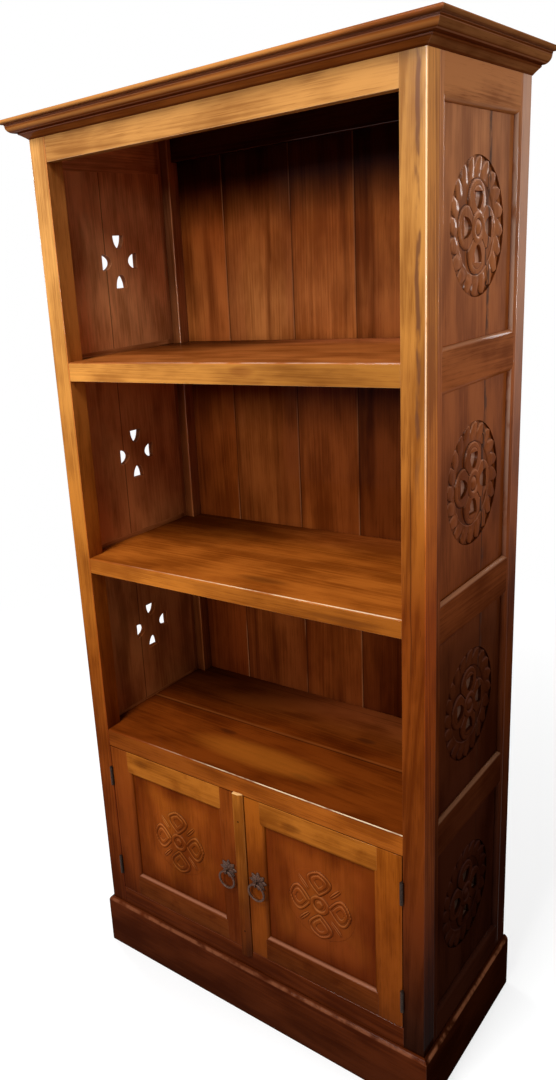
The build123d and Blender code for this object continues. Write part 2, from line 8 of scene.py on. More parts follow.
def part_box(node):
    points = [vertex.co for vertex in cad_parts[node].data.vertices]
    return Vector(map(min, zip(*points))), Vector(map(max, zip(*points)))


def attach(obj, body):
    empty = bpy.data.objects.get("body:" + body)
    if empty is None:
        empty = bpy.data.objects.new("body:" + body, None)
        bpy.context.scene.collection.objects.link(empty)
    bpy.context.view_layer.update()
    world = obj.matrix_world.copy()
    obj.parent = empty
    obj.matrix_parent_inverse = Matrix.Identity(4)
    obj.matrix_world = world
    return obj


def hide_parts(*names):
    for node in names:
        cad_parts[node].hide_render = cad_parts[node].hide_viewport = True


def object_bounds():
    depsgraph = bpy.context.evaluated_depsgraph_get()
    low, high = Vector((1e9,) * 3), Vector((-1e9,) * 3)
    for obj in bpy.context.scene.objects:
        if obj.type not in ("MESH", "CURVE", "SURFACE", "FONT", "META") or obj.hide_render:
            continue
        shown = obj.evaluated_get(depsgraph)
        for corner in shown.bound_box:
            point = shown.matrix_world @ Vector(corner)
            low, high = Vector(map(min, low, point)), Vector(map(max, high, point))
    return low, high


# A tall teak bookcase cabinet: open shelves over a cupboard, framed sides with pierced and carved
# panels, a moulded cornice and a plinth. Metres: X runs to the right from the middle, Y from the
# front to the back and Z up from the floor.

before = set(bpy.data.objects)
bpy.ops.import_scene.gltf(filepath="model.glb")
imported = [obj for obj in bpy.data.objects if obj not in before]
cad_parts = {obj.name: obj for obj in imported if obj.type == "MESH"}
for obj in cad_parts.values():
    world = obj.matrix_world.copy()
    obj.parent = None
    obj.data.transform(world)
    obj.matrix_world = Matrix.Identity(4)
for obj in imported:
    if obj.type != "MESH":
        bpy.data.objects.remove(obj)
cad_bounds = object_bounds()


# ---- Front posts --------------------------------------------------------------------------------
# Two square teak posts from the floor to the top board. Their arrises are eased with sandpaper, and
# the eased arrises are painted lighter, a painted highlight along each edge. The right post's outer
# front corner carries a painted white highlight as well. A wavy streak of bark runs down the upper
# part of the right one, and a drying crack beside it.

class Field:
    """A value over a surface. Sums and products of fields add the Math nodes that they need."""

    def __init__(self, graph, socket):
        self.graph = graph
        self.socket = socket

    def math(self, operation, *values):
        return self.graph.node("ShaderNodeMath", {"operation": operation}, dict(enumerate(values)))

    def __add__(self, other):
        return self.math("ADD", self, other)

    def __sub__(self, other):
        return self.math("SUBTRACT", self, other)

    def __rsub__(self, other):
        return self.math("SUBTRACT", other, self)

    def __mul__(self, other):
        return self.math("MULTIPLY", self, other)

    def __truediv__(self, other):
        return self.math("DIVIDE", self, other)

    def __pow__(self, other):
        return self.math("POWER", self, other)

    __radd__ = __add__
    __rmul__ = __mul__

    def absolute(self):
        """The value without its sign."""
        return self.math("ABSOLUTE", self)

    def above(self, low, high):
        """0 below `low`, 1 above `high`, smooth between; with high < low it runs the other way."""
        settings = {"interpolation_type": "SMOOTHSTEP"}
        inputs = {"Value": self, "From Min": low, "From Max": high}
        return self.graph.node("ShaderNodeMapRange", settings, inputs)

    def near(self, middle, reach, blur):
        """1 within `reach` of a middle value, fading to 0 over `blur` beyond it."""
        return (self - middle).absolute().above(reach + blur, reach)

    def flush(self, face, outward=1):
        """1 on a flat face at a place, fading to 0 within 2 mm under it; `outward` is 1 or -1."""
        return self.above(face - 0.0018 * outward, face - 0.0005 * outward)

    def output(self, name):
        return Field(self.graph, self.socket.node.outputs[name])


class Graph:
    """A node tree, and the one way in which nodes are added to it."""

    def __init__(self, tree):
        self.tree = tree

    def connect(self, socket, value):
        if isinstance(value, Field):
            self.tree.links.new(value.socket, socket)
        else:
            socket.default_value = value

    def node(self, kind, settings, inputs):
        """Add a node: its settings first, then the values or links of its sockets."""
        node = self.tree.nodes.new(kind)
        for name, value in settings.items():
            if name == "stops":
                self.set_stops(node.color_ramp.elements, value)
            else:
                setattr(node, name, value)
        for name, value in inputs.items():
            self.connect(node.inputs[name], value)
        return Field(self, next(socket for socket in node.outputs if socket.enabled))

    def set_stops(self, elements, stops):
        """Lay out a colour ramp, which starts with two elements."""
        for element, (place, colour) in zip((elements[0], elements[-1]), (stops[0], stops[-1])):
            element.position, element.color = place, colour
        for place, colour in stops[1:-1]:
            elements.new(place).color = colour


class Finish(Graph):
    """A material and the fields that it is painted with."""

    def __init__(self, name, slot=None):
        self.material = bpy.data.materials.new(name)
        self.material.use_nodes = True
        self.slot = slot
        super().__init__(self.material.node_tree)
        self.shader = self.tree.nodes["Principled BSDF"]
        self.place = self.node("ShaderNodeTexCoord", {}, {}).output("Object")
        parts = self.node("ShaderNodeSeparateXYZ", {}, {"Vector": self.place})
        self.x, self.y, self.z = (parts.output(axis) for axis in "XYZ")

    def shade(self, **inputs):
        """Set sockets of the surface shader, named with _ for each space."""
        for name, value in inputs.items():
            self.connect(self.shader.inputs[name.replace("_", " ")], value)

    def mix(self, mask, first, second, blend="MIX"):
        settings = {"data_type": "RGBA", "blend_type": blend}
        return self.node("ShaderNodeMix", settings, {0: mask, 6: first, 7: second})

    def noise(self, scale, detail=2.0, shift=0.0):
        """Cloudy noise; `scale` is one number, or three that draw it out along an axis."""
        scales = (scale, scale, scale) if isinstance(scale, (int, float)) else scale
        drawn = self.node("ShaderNodeMapping", {}, {
            "Vector": self.place, "Location": (shift, 1.7 * shift, 0.6 * shift), "Scale": scales})
        return self.node("ShaderNodeTexNoise", {}, {
            "Vector": drawn, "Scale": 1.0, "Detail": detail})

    def spot(self, centre, reach, edge=0.0):
        """1 at a place, fading to 0 at `reach` metres from it along each axis."""
        distance = 0.0
        for part, middle, radius in zip((self.x, self.y, self.z), centre, reach):
            offset = (part - middle) / radius
            distance = offset * offset + distance
        return distance.above(1.0, edge)

    def kept(self, name):
        """A value that the mesh keeps for each of its points or faces."""
        return self.node("ShaderNodeAttribute", {"attribute_name": name}, {}).output("Fac")

    def stain(self, mask, colour, blend="MIX"):
        """Lay a colour over the base colour where the mask is 1."""
        self.colour = self.mix(mask, self.colour, colour, blend)
        self.shade(Base_Color=self.colour)

    def tint(self, mask, red, green, blue):
        """Multiply the base colour where the mask is 1."""
        self.stain(mask, (red, green, blue, 1), "MULTIPLY")


def srgb(red, green, blue):
    """Colour from its usual 0 to 255 values."""
    def linear(value):
        value /= 255
        return value / 12.92 if value < 0.04045 else ((value + 0.055) / 1.055) ** 2.4
    return linear(red), linear(green), linear(blue), 1.0


def settled(shape, name):
    """The mesh of a finished bmesh, which is freed."""
    mesh = bpy.data.meshes.new(name)
    shape.to_mesh(mesh)
    shape.free()
    return mesh


def show(name, mesh, finish, body, *nodes):
    """Put a finished mesh on the cabinet in place of CAD nodes."""
    piece = bpy.data.objects.new(name, mesh)
    bpy.context.scene.collection.objects.link(piece)
    mesh.materials.clear()
    mesh.materials.append(finish.material)
    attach(piece, body)
    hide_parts(*nodes)


ARRIS_ANGLE = math.radians(40)      # edges that turn further than this are eased
FLAT = 0.97                         # a face slants where no part of its normal reaches this


def eased(node, finish, radius=0.0012, body="carcass"):
    """Show the CAD piece with its outer arrises rounded.

    Its faces keep "arris", 1 where they are rounded and 0.1 on other slanted ones, and "ledge",
    how much the slanted ones face up."""
    shape = bmesh.new()
    shape.from_mesh(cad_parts[node].data)
    bmesh.ops.remove_doubles(shape, verts=shape.verts, dist=1e-6)
    bmesh.ops.dissolve_limit(shape, angle_limit=math.radians(1), verts=shape.verts,
                             edges=shape.edges)
    arris = shape.faces.layers.float.new("arris")
    ledge = shape.faces.layers.float.new("ledge")
    sharp = [edge for edge in shape.edges if edge.is_manifold and edge.is_convex
             and edge.calc_face_angle() > ARRIS_ANGLE]
    rounded = bmesh.ops.bevel(shape, geom=sharp, offset=radius, offset_type="OFFSET",
                              affect="EDGES", segments=2, profile=0.5, material=-1,
                              clamp_overlap=True)["faces"]
    for face in shape.faces:
        face.smooth = max(abs(part) for part in face.normal) < FLAT
        face[arris] = 0.1 if face.smooth else 0.0
        face[ledge] = max(0.0, face.normal.z) if face.smooth else 0.0
    for face in rounded:
        face[arris] = 1.0
        face.smooth = True
    bmesh.ops.triangulate(shape, faces=[face for face in shape.faces if len(face.verts) > 4])
    show(f"{node}_eased", settled(shape, f"{node}_eased"), finish, body, node)


CABINET_HEIGHT = cad_bounds[1][2]
RINGS_PER_METRE = 170
STAIN_AND_SHADE_REACH = 0.03           # how far from an inner corner the finish darkens
# Front tones by height. Their deepening toward the floor is partly painted shade.
FRONT_TONES = [
    (0.00, srgb(60, 24, 8)), (0.15, srgb(74, 30, 9)), (0.25, srgb(97, 42, 12)),
    (0.45, srgb(112, 50, 13)), (0.60, srgb(128, 62, 16)), (0.80, srgb(142, 74, 20)),
    (1.00, srgb(166, 96, 30)), (1.20, srgb(182, 112, 40)), (1.50, srgb(198, 134, 60)),
    (1.95, srgb(212, 154, 84)),
]


def teak(name, grain, tones=FRONT_TONES, tone=1.0, shift=0.0, gloss=(0.02, 0.2), figure=1.0,
         heart=(0.3, 0.1), upward_sheen=0.0):
    """Varnished teak, streaked and pored along its grain, which is "x", "y" or "z".

    `tones` are its colours by height, which deepen toward the floor, partly as painted shade, and
    `tone` scales them all. `shift` picks another stretch of the log. `gloss` is the varnish's
    weight at the floor and at the top. `figure` is how strong the year rings are, and `heart` where
    the log's middle lay across the grain, about which they turn. `upward_sheen` is how strongly a
    pale painted sheen, a painted reflection of light from above, lies on upward slopes."""
    wood = Finish(name, "teak")
    across = {"x": wood.x, "y": wood.y, "z": wood.z}
    along = across.pop(grain)

    def drawn_out(fine, long):
        return tuple(long if axis == grain else fine for axis in "xyz")

    wander = wood.noise(drawn_out(5, 0.8), 2, shift) - 0.5
    aside, inward = (part - middle for part, middle in zip(across.values(), heart))
    aside = aside + wander * 0.07
    inward = inward + along * 0.03
    radius = (aside * aside + inward * inward) ** 0.5
    rings = wood.node("ShaderNodeTexNoise", {"noise_dimensions": "1D"}, {
        "W": radius * RINGS_PER_METRE + shift, "Scale": 1.0, "Detail": 3.0})
    broad = wood.noise(drawn_out(9, 0.9), 2, shift + 1)
    cloud = wood.noise(drawn_out(17, 6), 3, shift + 2)
    fibres = wood.noise(drawn_out(330, 7), 2, shift + 7)
    pores = wood.noise(drawn_out(900, 22), 1, shift + 11).above(0.60, 0.72)
    # Each kind of marking darkens or lightens the wood by its own weight about a middle tone.
    dark = (0.4 + (broad - 0.5) * 1.2 + (cloud - 0.5) * 2.2 + (rings - 0.5) * 0.9 * figure
            + (fibres - 0.5) * 0.6 + pores * 0.35).above(0.0, 1.0)
    height = wood.z / CABINET_HEIGHT
    stops = [(z / CABINET_HEIGHT, colour) for z, colour in tones]
    base = wood.node("ShaderNodeValToRGB", {"stops": stops}, {"Fac": height})

    def base_times(*factors):
        return wood.node("ShaderNodeVectorMath", {"operation": "MULTIPLY"}, {
            0: base, 1: tuple(factor * tone for factor in factors)})

    wood.colour = wood.mix(dark, base_times(1.16, 1.16, 1.2), base_times(0.60, 0.50, 0.42))
    # Rounded arrises, and a little the other slanted faces, are painted lighter: a painted
    # highlight.
    arris = wood.kept("arris")
    wood.stain(arris * 0.55, base_times(1.5, 1.6, 1.9))
    # Inner corners and the places between parts are darkened: partly stain that gathers there,
    # partly painted shade.
    corner = wood.node("ShaderNodeAmbientOcclusion", {"samples": 6}, {"Distance": STAIN_AND_SHADE_REACH})
    corner = 1 - corner.output("AO")
    wood.tint(corner.above(0.25, 0.95) * 0.85, 0.42, 0.33, 0.27)
    # A pale painted sheen on upward slopes: a painted reflection of light from above.
    if upward_sheen:
        upward = wood.kept("ledge").above(0.15, 0.6)
        wood.stain(upward * height.above(0.1, 0.55) * upward_sheen, srgb(200, 144, 106))
    # The varnish thins toward the floor and is thickest on the rubbed arrises.
    polish = height.above(0.4, 0.95)
    edge_polish = min(1.0, gloss[1] * 10)
    coat = (polish * (gloss[1] - gloss[0] + arris * edge_polish * 0.7) + gloss[0]
            + arris * edge_polish * 0.15)
    relief = wood.node("ShaderNodeBump", {}, {
        "Strength": 0.15, "Distance": 0.0003, "Height": fibres - pores * 0.6})
    wood.shade(Roughness=0.40 + fibres * 0.12, Normal=relief, Specular_IOR_Level=0.0,
               Coat_Weight=coat, Coat_Roughness=0.12)
    return wood


post_low, post_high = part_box("front_right_post")
POST_INSIDE, POST_OUTSIDE, CASE_FRONT = post_low[0], post_high[0], post_low[1]
POST_EASING = 0.003
# The right post's tones run darker than the front's: painted shade, where less light reached it.
RIGHT_POST_TONES = [
    (0.00, srgb(22, 9, 4)), (0.20, srgb(44, 18, 7)), (0.45, srgb(88, 37, 11)),
    (0.70, srgb(112, 52, 12)), (1.08, srgb(116, 54, 12)), (1.24, srgb(150, 84, 25)),
    (1.55, srgb(170, 111, 46)), (1.95, srgb(176, 125, 64)),
]
BARK_X, CRACK_X = 0.414, 0.401

post = teak("left_post_teak", "z", tone=0.92, heart=(-0.52, -0.1))
# The left post's outer side face and the face that looks into the cabinet are painted darker:
# painted shade.
post.tint(post.x.flush(-POST_OUTSIDE, -1), 0.62, 0.48, 0.40)
post.tint(post.x.above(-POST_INSIDE - 0.0030, -POST_INSIDE - 0.0015), 0.95, 0.72, 0.60)
eased("front_left_post", post, POST_EASING)

post = teak("right_post_teak", "z", RIGHT_POST_TONES, shift=1.1, heart=(0.45, -0.3), figure=1.5)
wave = post.noise((0, 0, 9), 2, 4.0) - 0.5
bark = (post.x + wave * 0.018).near(BARK_X, 0.0018, 0.0035)
bark = bark * post.z.above(1.2, 1.45) * post.noise((60, 60, 14), 3, 2.0).above(0.36, 0.55)
post.stain(bark * 0.85, srgb(98, 58, 36))
crack = (post.x + wave * 0.006).near(CRACK_X, 0.0004, 0.0014)
crack = crack * post.z.above(0.92, 1.0) * post.z.above(1.42, 1.3)
post.stain(crack * 0.7, srgb(70, 30, 8))
# A painted white highlight down the upper part of the right post's front outer corner.
painted_highlight = (post.x.above(POST_OUTSIDE - 0.0028, POST_OUTSIDE - 0.0016)
         * post.y.above(CASE_FRONT + 0.0032, CASE_FRONT + 0.0020)
         * post.z.above(1.2, 1.5) * post.noise((20, 20, 24), 2, 9.0).above(0.2, 0.5))
post.stain(painted_highlight * 0.6, srgb(246, 220, 194))
# The right post's outer side face is painted lighter higher up and darker near the floor: painted
# light and painted shade.
outer_side = post.x.flush(POST_OUTSIDE)
post.tint(outer_side * post.z.above(0.5, 1.0), 1.45, 1.17, 0.78)
post.tint(outer_side * post.z.above(0.6, 0.2) * 0.9, 0.46, 0.33, 0.22)
eased("front_right_post", post, POST_EASING)


# ---- Rails of the carcass -----------------------------------------------------------------------
# Flat rails between the posts, flush with them at the front: a honey coloured one under the
# cornice and a dark one under the doors.

rail = teak("top_rail_teak", "x", tone=0.66, shift=2.3, heart=(-0.14, 1.86))
rail.tint(1.0, 1.0, 0.93, 0.85)
eased("front_top_rail", rail)
eased("front_bottom_rail", teak("bottom_rail_teak", "x", shift=2.9, heart=(-0.14, 0.2)))


# ---- Side frames --------------------------------------------------------------------------------
# Stiles and rails of the framed sides, with a quarter round worked on their inner edges, and the
# rear posts, which show on the outside as part of the frame.

# The sides' tones deepen steeply toward the floor, partly as painted shade.
SIDE_TONES = [
    (0.05, srgb(36, 14, 6)), (0.40, srgb(44, 17, 7)), (0.60, srgb(62, 27, 11)),
    (1.00, srgb(88, 40, 15)), (1.12, srgb(120, 60, 26)), (1.45, srgb(150, 80, 36)),
    (1.90, srgb(178, 112, 62)),
]
FRAME_EASING = 0.0015
stiles = teak("stile_teak", "z", SIDE_TONES, tone=1.1, shift=5.1, gloss=(0.0, 0.14),
              heart=(0.5, 0.0))
rear_quarter_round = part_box("right_side_rails")[1][1] - 0.0065
# A painted highlight down the quarter round at the rear of each side opening, over its upper part.
painted_highlight = stiles.y.near(rear_quarter_round, 0.0012, 0.0015) * stiles.z.above(0.95, 1.5)
painted_highlight = painted_highlight * stiles.noise((30, 30, 16), 3, 8.0).above(0.3, 0.5)
stiles.stain(painted_highlight * 0.5, srgb(226, 190, 166))
eased("right_side_stiles", stiles, FRAME_EASING)
# The rails carry a pale painted sheen, a painted reflection, on their upward mouldings.
eased("right_side_rails", teak("side_rail_teak", "y", SIDE_TONES, shift=6.4, gloss=(0.0, 0.07),
                               heart=(0.5, 1.2), upward_sheen=0.38), FRAME_EASING)
post = teak("rear_post_teak", "z", SIDE_TONES, tone=1.05, shift=5.7, gloss=(0.0, 0.35),
            heart=(0.5, 0.3))
# The upper part of the rear post is painted paler: a painted reflection.
post.stain(post.z.above(1.2, 1.7) * 0.35, srgb(214, 168, 140))
eased("rear_right_post", post, POST_EASING)

# The left side's pieces take lighter tones than the right side's: painted light on the faces that
# look into the cabinet. darker_outside darkens every other face of them.
LEFT_TONES = [
    (0.10, srgb(96, 50, 24)), (0.70, srgb(180, 106, 54)), (1.00, srgb(190, 118, 64)),
    (1.20, srgb(184, 112, 62)), (1.45, srgb(198, 124, 70)), (1.60, srgb(224, 156, 100)),
    (1.85, srgb(224, 156, 104)),
]
SIDE_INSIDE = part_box("right_side_stiles")[0][0]
REAR_POST_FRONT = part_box("rear_right_post")[0][1]
left_frame_teak = teak("left_frame_teak", "z", LEFT_TONES, shift=7.3, gloss=(0.0, 0.1),
                       heart=(-0.5, 0.1))
left_rail_teak = teak("left_rail_teak", "y", LEFT_TONES, shift=8.8, gloss=(0.0, 0.1),
                      heart=(-0.5, 1.1))


def darker_outside(wood):
    """Darken all of a left side's piece but the face that looks into the cabinet."""
    wood.tint(wood.x.above(-SIDE_INSIDE - 0.0003, -SIDE_INSIDE - 0.0017), 0.60, 0.46, 0.38)


for wood in (left_frame_teak, left_rail_teak):
    # Painted shade deepening toward the rear corner inside the cabinet.
    wood.tint(wood.y.above(REAR_POST_FRONT - 0.0265, REAR_POST_FRONT - 0.0135) * 0.8,
              0.50, 0.40, 0.34)
    darker_outside(wood)
    # Painted shade on the front face of the rear post, inside the cabinet.
    post_front = (wood.y.above(REAR_POST_FRONT - 0.001, REAR_POST_FRONT + 0.0003)
                  * wood.x.above(-SIDE_INSIDE - 0.0015, -SIDE_INSIDE + 0.0005)
                  * wood.x.above(-POST_INSIDE - 0.002, -POST_INSIDE - 0.005))
    wood.tint(post_front, 0.45, 0.38, 0.34)
eased("left_side_stiles", left_frame_teak, FRAME_EASING)
eased("left_side_rails", left_rail_teak, FRAME_EASING)
eased("rear_left_post", left_frame_teak, FRAME_EASING)


# ---- Shelves ------------------------------------------------------------------------------------
# Thick shelves glued up from two boards each, with a rounded upper front edge that carries a
# painted highlight, and the thin floor of the cupboard. Knots and clouds of stain show on their
# tops, which carry painted shade and painted reflections as well.

SHELF_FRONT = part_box("shelf_1")[0][1]
SHELF_SEAM = 0.0075
boards, upper_faces = {}, {}
for node, tone, shift, right_end_painted_light, seam in (
        ("shelf_1", 1.02, 8.2, (0.54, 0.48, 0.36), 0.15),
        ("shelf_2", 1.15, 9.1, (0.56, 0.50, 0.44), 0.15),
        ("shelf_3", 0.78, 10.3, (1.8, 2.1, 2.1), 0.7),
        ("cupboard_floor", 0.8, 11.2, (1.0, 1.0, 1.0), 0.7)):
    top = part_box(node)[1][2]
    board = teak(f"{node}_teak", "x", tone=tone, shift=shift, heart=(-0.16, top - 0.075))
    upper = board.z.above(top - 0.004, top - 0.001)
    # Painted shade toward the right ends of the faces below each top; on shelf 3 painted light
    # instead.
    board.tint((1 - upper) * board.x.above(-0.38, 0.25), *right_end_painted_light)
    board.tint(upper * 0.6, 0.84, 0.60, 0.46)
    # Painted shade on the back part of each top.
    board.tint(upper * board.y.above(-0.1, 0.05) * 0.4, 0.6, 0.5, 0.45)
    board.tint(upper * board.noise((7, 14, 1), 2, shift).above(0.45, 0.7) * 0.5, 0.62, 0.5, 0.42)
    # A painted reflection lightens and cools the back of each top, toward the right.
    painted_reflection_at_back = board.y.above(0.08, 0.2) * board.x.above(-0.3, 0.1)
    board.tint(upper * painted_reflection_at_back * 0.7, 1.7, 1.8, 3.0)
    # A painted shadow darkens the rear left corner of each shelf.
    board.tint(board.spot((-0.37, 0.24, top), (0.46, 0.30, 0.05)) * 0.92, 0.18, 0.13, 0.12)
    board.stain(upper * board.y.near(SHELF_SEAM, 0.0008, 0.0012) * seam, srgb(40, 16, 6))
    # A painted highlight on the raised edge just behind the seam.
    painted_lip_highlight = board.y.near(SHELF_SEAM + 0.006, 0.002, 0.003)
    board.stain(upper * painted_lip_highlight * seam * 0.4, srgb(150, 86, 40))
    # A painted highlight, broken up, along the upper arris of the rounded front edge.
    nose_highlight = (board.y.near(SHELF_FRONT + 0.0022, 0.0004, 0.0011)
            * board.z.above(top - 0.0038, top - 0.0014)
            * board.noise((14, 14, 14), 3, shift).above(0.3, 0.55) * board.x.above(-0.35, 0.15))
    board.stain(nose_highlight * 0.8, srgb(250, 224, 182))
    boards[node], upper_faces[node] = board, upper

board, upper = boards["shelf_3"], upper_faces["shelf_3"]
KNOT_REACH = (0.030, 0.012, 0.03)
for knot in ((-0.13, -0.045, 0.63), (0.115, -0.12, 0.63), (0.16, 0.085, 0.63)):
    board.stain(board.spot(knot, KNOT_REACH) * 0.55, srgb(52, 20, 6))
board.stain(board.spot((0.0, -0.10, 0.63), (0.22, 0.055, 0.03)) * 0.5, srgb(176, 98, 28))
# A painted reflection lightens and cools the back of shelf 3's top.
board.tint(board.y.above(0.03, 0.14) * upper, 1.6, 2.0, 3.0)
board, upper = boards["shelf_2"], upper_faces["shelf_2"]
board.tint(upper, 0.87, 0.85, 0.85)
board.stain(board.spot((0.05, -0.13, 1.067), (0.075, 0.020, 0.03)) * 0.5, srgb(70, 30, 8))
streak = board.spot((0.27, -0.19, 1.045), (0.10, 0.02, 0.010)) * board.z.above(1.052, 1.046)
board.stain(streak * 0.45, srgb(84, 40, 12))
board, upper = boards["shelf_1"], upper_faces["shelf_1"]
board.tint(upper, 0.64, 0.53, 0.6)
board.stain(board.spot((0.07, -0.19, 1.495), (0.035, 0.02, 0.012)) * 0.5, srgb(120, 62, 20))
for node, board in boards.items():
    eased(node, board, 0.001)


# ---- Back ---------------------------------------------------------------------------------------
# Five upright boards of different logs, let in between the rear posts, and the rails across them
# inside the top and the foot.

# Inside tones by height: darker low down, partly painted shade, and dark at the top of the upper
# bay, a painted shadow of the top rail.
INSIDE_TONES = [
    (0.20, srgb(66, 27, 9)), (0.70, srgb(94, 40, 13)), (0.95, srgb(112, 52, 18)),
    (1.10, srgb(112, 54, 19)), (1.45, srgb(114, 57, 23)), (1.60, srgb(158, 92, 46)),
    (1.75, srgb(146, 78, 34)), (1.86, srgb(64, 27, 10)),
]
BACK_JOINTS = (-0.255, -0.075, 0.080, 0.245)
BACK_EDGES = (-0.44, *BACK_JOINTS, 0.44)
BOARD_TINTS = ((1.05, 0.95, 0.8), (1.0, 1.0, 1.0), (1.2, 1.2, 1.1), (0.8, 0.74, 0.7),
               (0.95, 0.85, 0.75))
back = teak("back_teak", "z", INSIDE_TONES, shift=12.5, gloss=(0.02, 0.05), heart=(0.1, 0.28),
            figure=0.8)
back.tint(back.noise((9, 9, 2.6), 3, 1.5).above(0.42, 0.68) * 0.8, 1.35, 1.55, 1.5)
back.tint(back.noise((26, 26, 1.8), 3, 5.5).above(0.5, 0.72) * 0.75, 0.42, 0.32, 0.26)
for first, last, tint in zip(BACK_EDGES, BACK_EDGES[1:], BOARD_TINTS):
    back.tint(back.x.near((first + last) / 2, (last - first) / 2, 0.0005), *tint)
for joint in BACK_JOINTS:
    wear_and_sheen = back.x.near(joint - 0.0025, 0.0012, 0.001)
    wear_and_sheen = wear_and_sheen * back.noise((3, 3, 7), 3, joint).above(0.35, 0.6)
    back.stain(wear_and_sheen * 0.5, srgb(160, 104, 66))
    back.tint(back.x.near(joint + 0.004, 0.001, 0.012) * 0.5, 0.5, 0.42, 0.36)
    back.stain(back.x.near(joint, 0.0008, 0.001) * 0.6, srgb(30, 12, 5))
eased("back_boards", back, 0.001)
rear_rail_teak = teak("rear_rail_teak", "x", INSIDE_TONES, shift=13.9)
for node in ("rear_top_rail", "rear_bottom_rail"):
    eased(node, rear_rail_teak)


# ---- Top and cornice ----------------------------------------------------------------------------
# A plain top board, framed on three sides by a mitred moulding: cavetto, ovolo and a round lip.
# Its hollows are painted dark as painted shade, and its edges, lip and ovolo carry painted
# highlights; the side runs and the right end of the front run are painted darker, painted shade.

eased("top_board", teak("top_teak", "x", tone=0.62, shift=15.7, heart=(0.1, 1.9)))

CORNICE_TONES = [(1.94, srgb(138, 72, 28)), (1.975, srgb(162, 92, 36)), (2.0, srgb(150, 84, 36))]
CORNICE_SHADED_HOLLOWS = ((1.9885, 0.0016, 0.85), (1.9725, 0.0028, 0.8), (1.9595, 0.0015, 0.7))
CORNICE_EDGE_HIGHLIGHTS = (1.9905, 1.9865, 1.9745)
CORNICE_EASING = 0.0008
front_moulding = teak("cornice_teak", "x", CORNICE_TONES, tone=0.8, shift=16.2, gloss=(0.0, 0.05),
                      heart=(-0.2, 1.93))
# The side runs take the sides' tones at half strength: painted shade.
side_moulding = teak("cornice_side_teak", "y", SIDE_TONES, tone=0.5, shift=17.1, gloss=(0.0, 0.0))
for moulding in (front_moulding, side_moulding):
    # Painted shade in the hollows.
    for z, reach, strength in CORNICE_SHADED_HOLLOWS:
        moulding.stain(moulding.z.near(z, reach, 0.002) * strength, srgb(92, 38, 12))
    # Painted highlights along the edges.
    for z in CORNICE_EDGE_HIGHLIGHTS:
        moulding.stain(moulding.z.near(z, 0.0002, 0.0008) * 0.4, srgb(190, 130, 92))
# Painted light on the top of the front lip, toward the left end.
painted_lip_highlight = front_moulding.z.above(1.9905, 1.994) * front_moulding.x.above(0.42, 0.1)
front_moulding.stain(painted_lip_highlight * 0.6, srgb(190, 130, 66))
# A painted highlight on the ovolo.
ovolo_highlight = front_moulding.z.near(1.9805, 0.001, 0.003)
front_moulding.stain(ovolo_highlight * 0.4, srgb(200, 134, 66))
# Painted shade toward the right end of the front run.
front_moulding.tint(front_moulding.x.above(0.25, 0.45) * 0.55, 0.5, 0.40, 0.36)
eased("cornice_front", front_moulding, CORNICE_EASING)
for side in ("left", "right"):
    eased(f"cornice_{side}", side_moulding, CORNICE_EASING)


# ---- Plinth -------------------------------------------------------------------------------------
# Three teak boards around the feet of the cabinet, mitred at its front corners. Their upper edge
# is rounded and carries a pale painted highlight, and the side boards are painted much darker:
# painted shade.

PLINTH_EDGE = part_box("plinth_front")[1][2] - 0.0065
front_plinth = teak("plinth_teak", "x", shift=19.9, heart=(-0.25, 0.05))
side_plinth = teak("plinth_side_teak", "y", tone=0.28, shift=21.3, gloss=(0.0, 0.0))
for wood in (front_plinth, side_plinth):
    # A pale painted highlight, broken up, along the rounded upper edge.
    wear_and_sheen = wood.z.near(PLINTH_EDGE, 0.002, 0.003) * wood.noise(38, 3, 1.0).above(0.3, 0.6)
    wood.stain(wear_and_sheen * 0.4, srgb(150, 92, 62))
eased("plinth_front", front_plinth)
for side in ("left", "right"):
    eased(f"plinth_{side}", side_plinth)


# ---- Side panels --------------------------------------------------------------------------------
# Each framed side holds four panels glued of two boards. A round medallion is carved in each: a
# sunk field with a wreath of twenty leaves, four domed petals, a ringed button, and four openings
# cut right through.

def middle_of(node):
    """The middle of a CAD piece's bounding box."""
    low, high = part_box(node)
    return (Vector(low) + Vector(high)) / 2


PANEL_THICKNESS = 0.012
PANEL_BACK, PANEL_FACE = SIDE_INSIDE, SIDE_INSIDE + PANEL_THICKNESS
PANEL_MIDDLE = middle_of("right_panel_1").y
MILLIMETRE = 0.001
MEDALLION_RADIUS, FIELD_DEPTH = 0.114, 0.004

# The rest of the carving is in millimetres, as distances from the medallion's middle and heights.
LEAVES, LEAF_CROWN, LEAF_LEAN = 20, 3.9, 0.07
LEAF_ROOT, LEAF_TIP, LEAF_TIP_RADIUS = 78.4, 103, 9.6
PETAL_MIDDLE, PETAL_RADIUS, PETAL_CROWN, PETAL_FALL, PETAL_LINE = 42, 35, 5.3, 1.9, 25
RING_MIDDLE, RING_HALF_WIDTH, RING_FOOT, RING_CROWN = 20.4, 6.5, 3.0, 4.0
BUTTON_RADIUS, BUTTON_FOOT, BUTTON_CROWN = 13.2, 4.0, 4.2
CARVED_MIDDLE = 24          # the petals start here, under the ring
GROOVE_REACH = 1.8          # reach over which stain gathers in a groove


def rise(value, low, high):
    """Smooth step from 0 to 1 as a value goes from `low` to `high`."""
    share = min(1.0, max(0.0, (value - low) / (high - low)))
    return share * share * (3 - 2 * share)


def round_top(value, middle, reach):
    """1 in the middle of a round hump, falling as a circle does to 0 at `reach` from it."""
    return math.sqrt(max(0.0, 1 - ((value - middle) / reach) ** 2))


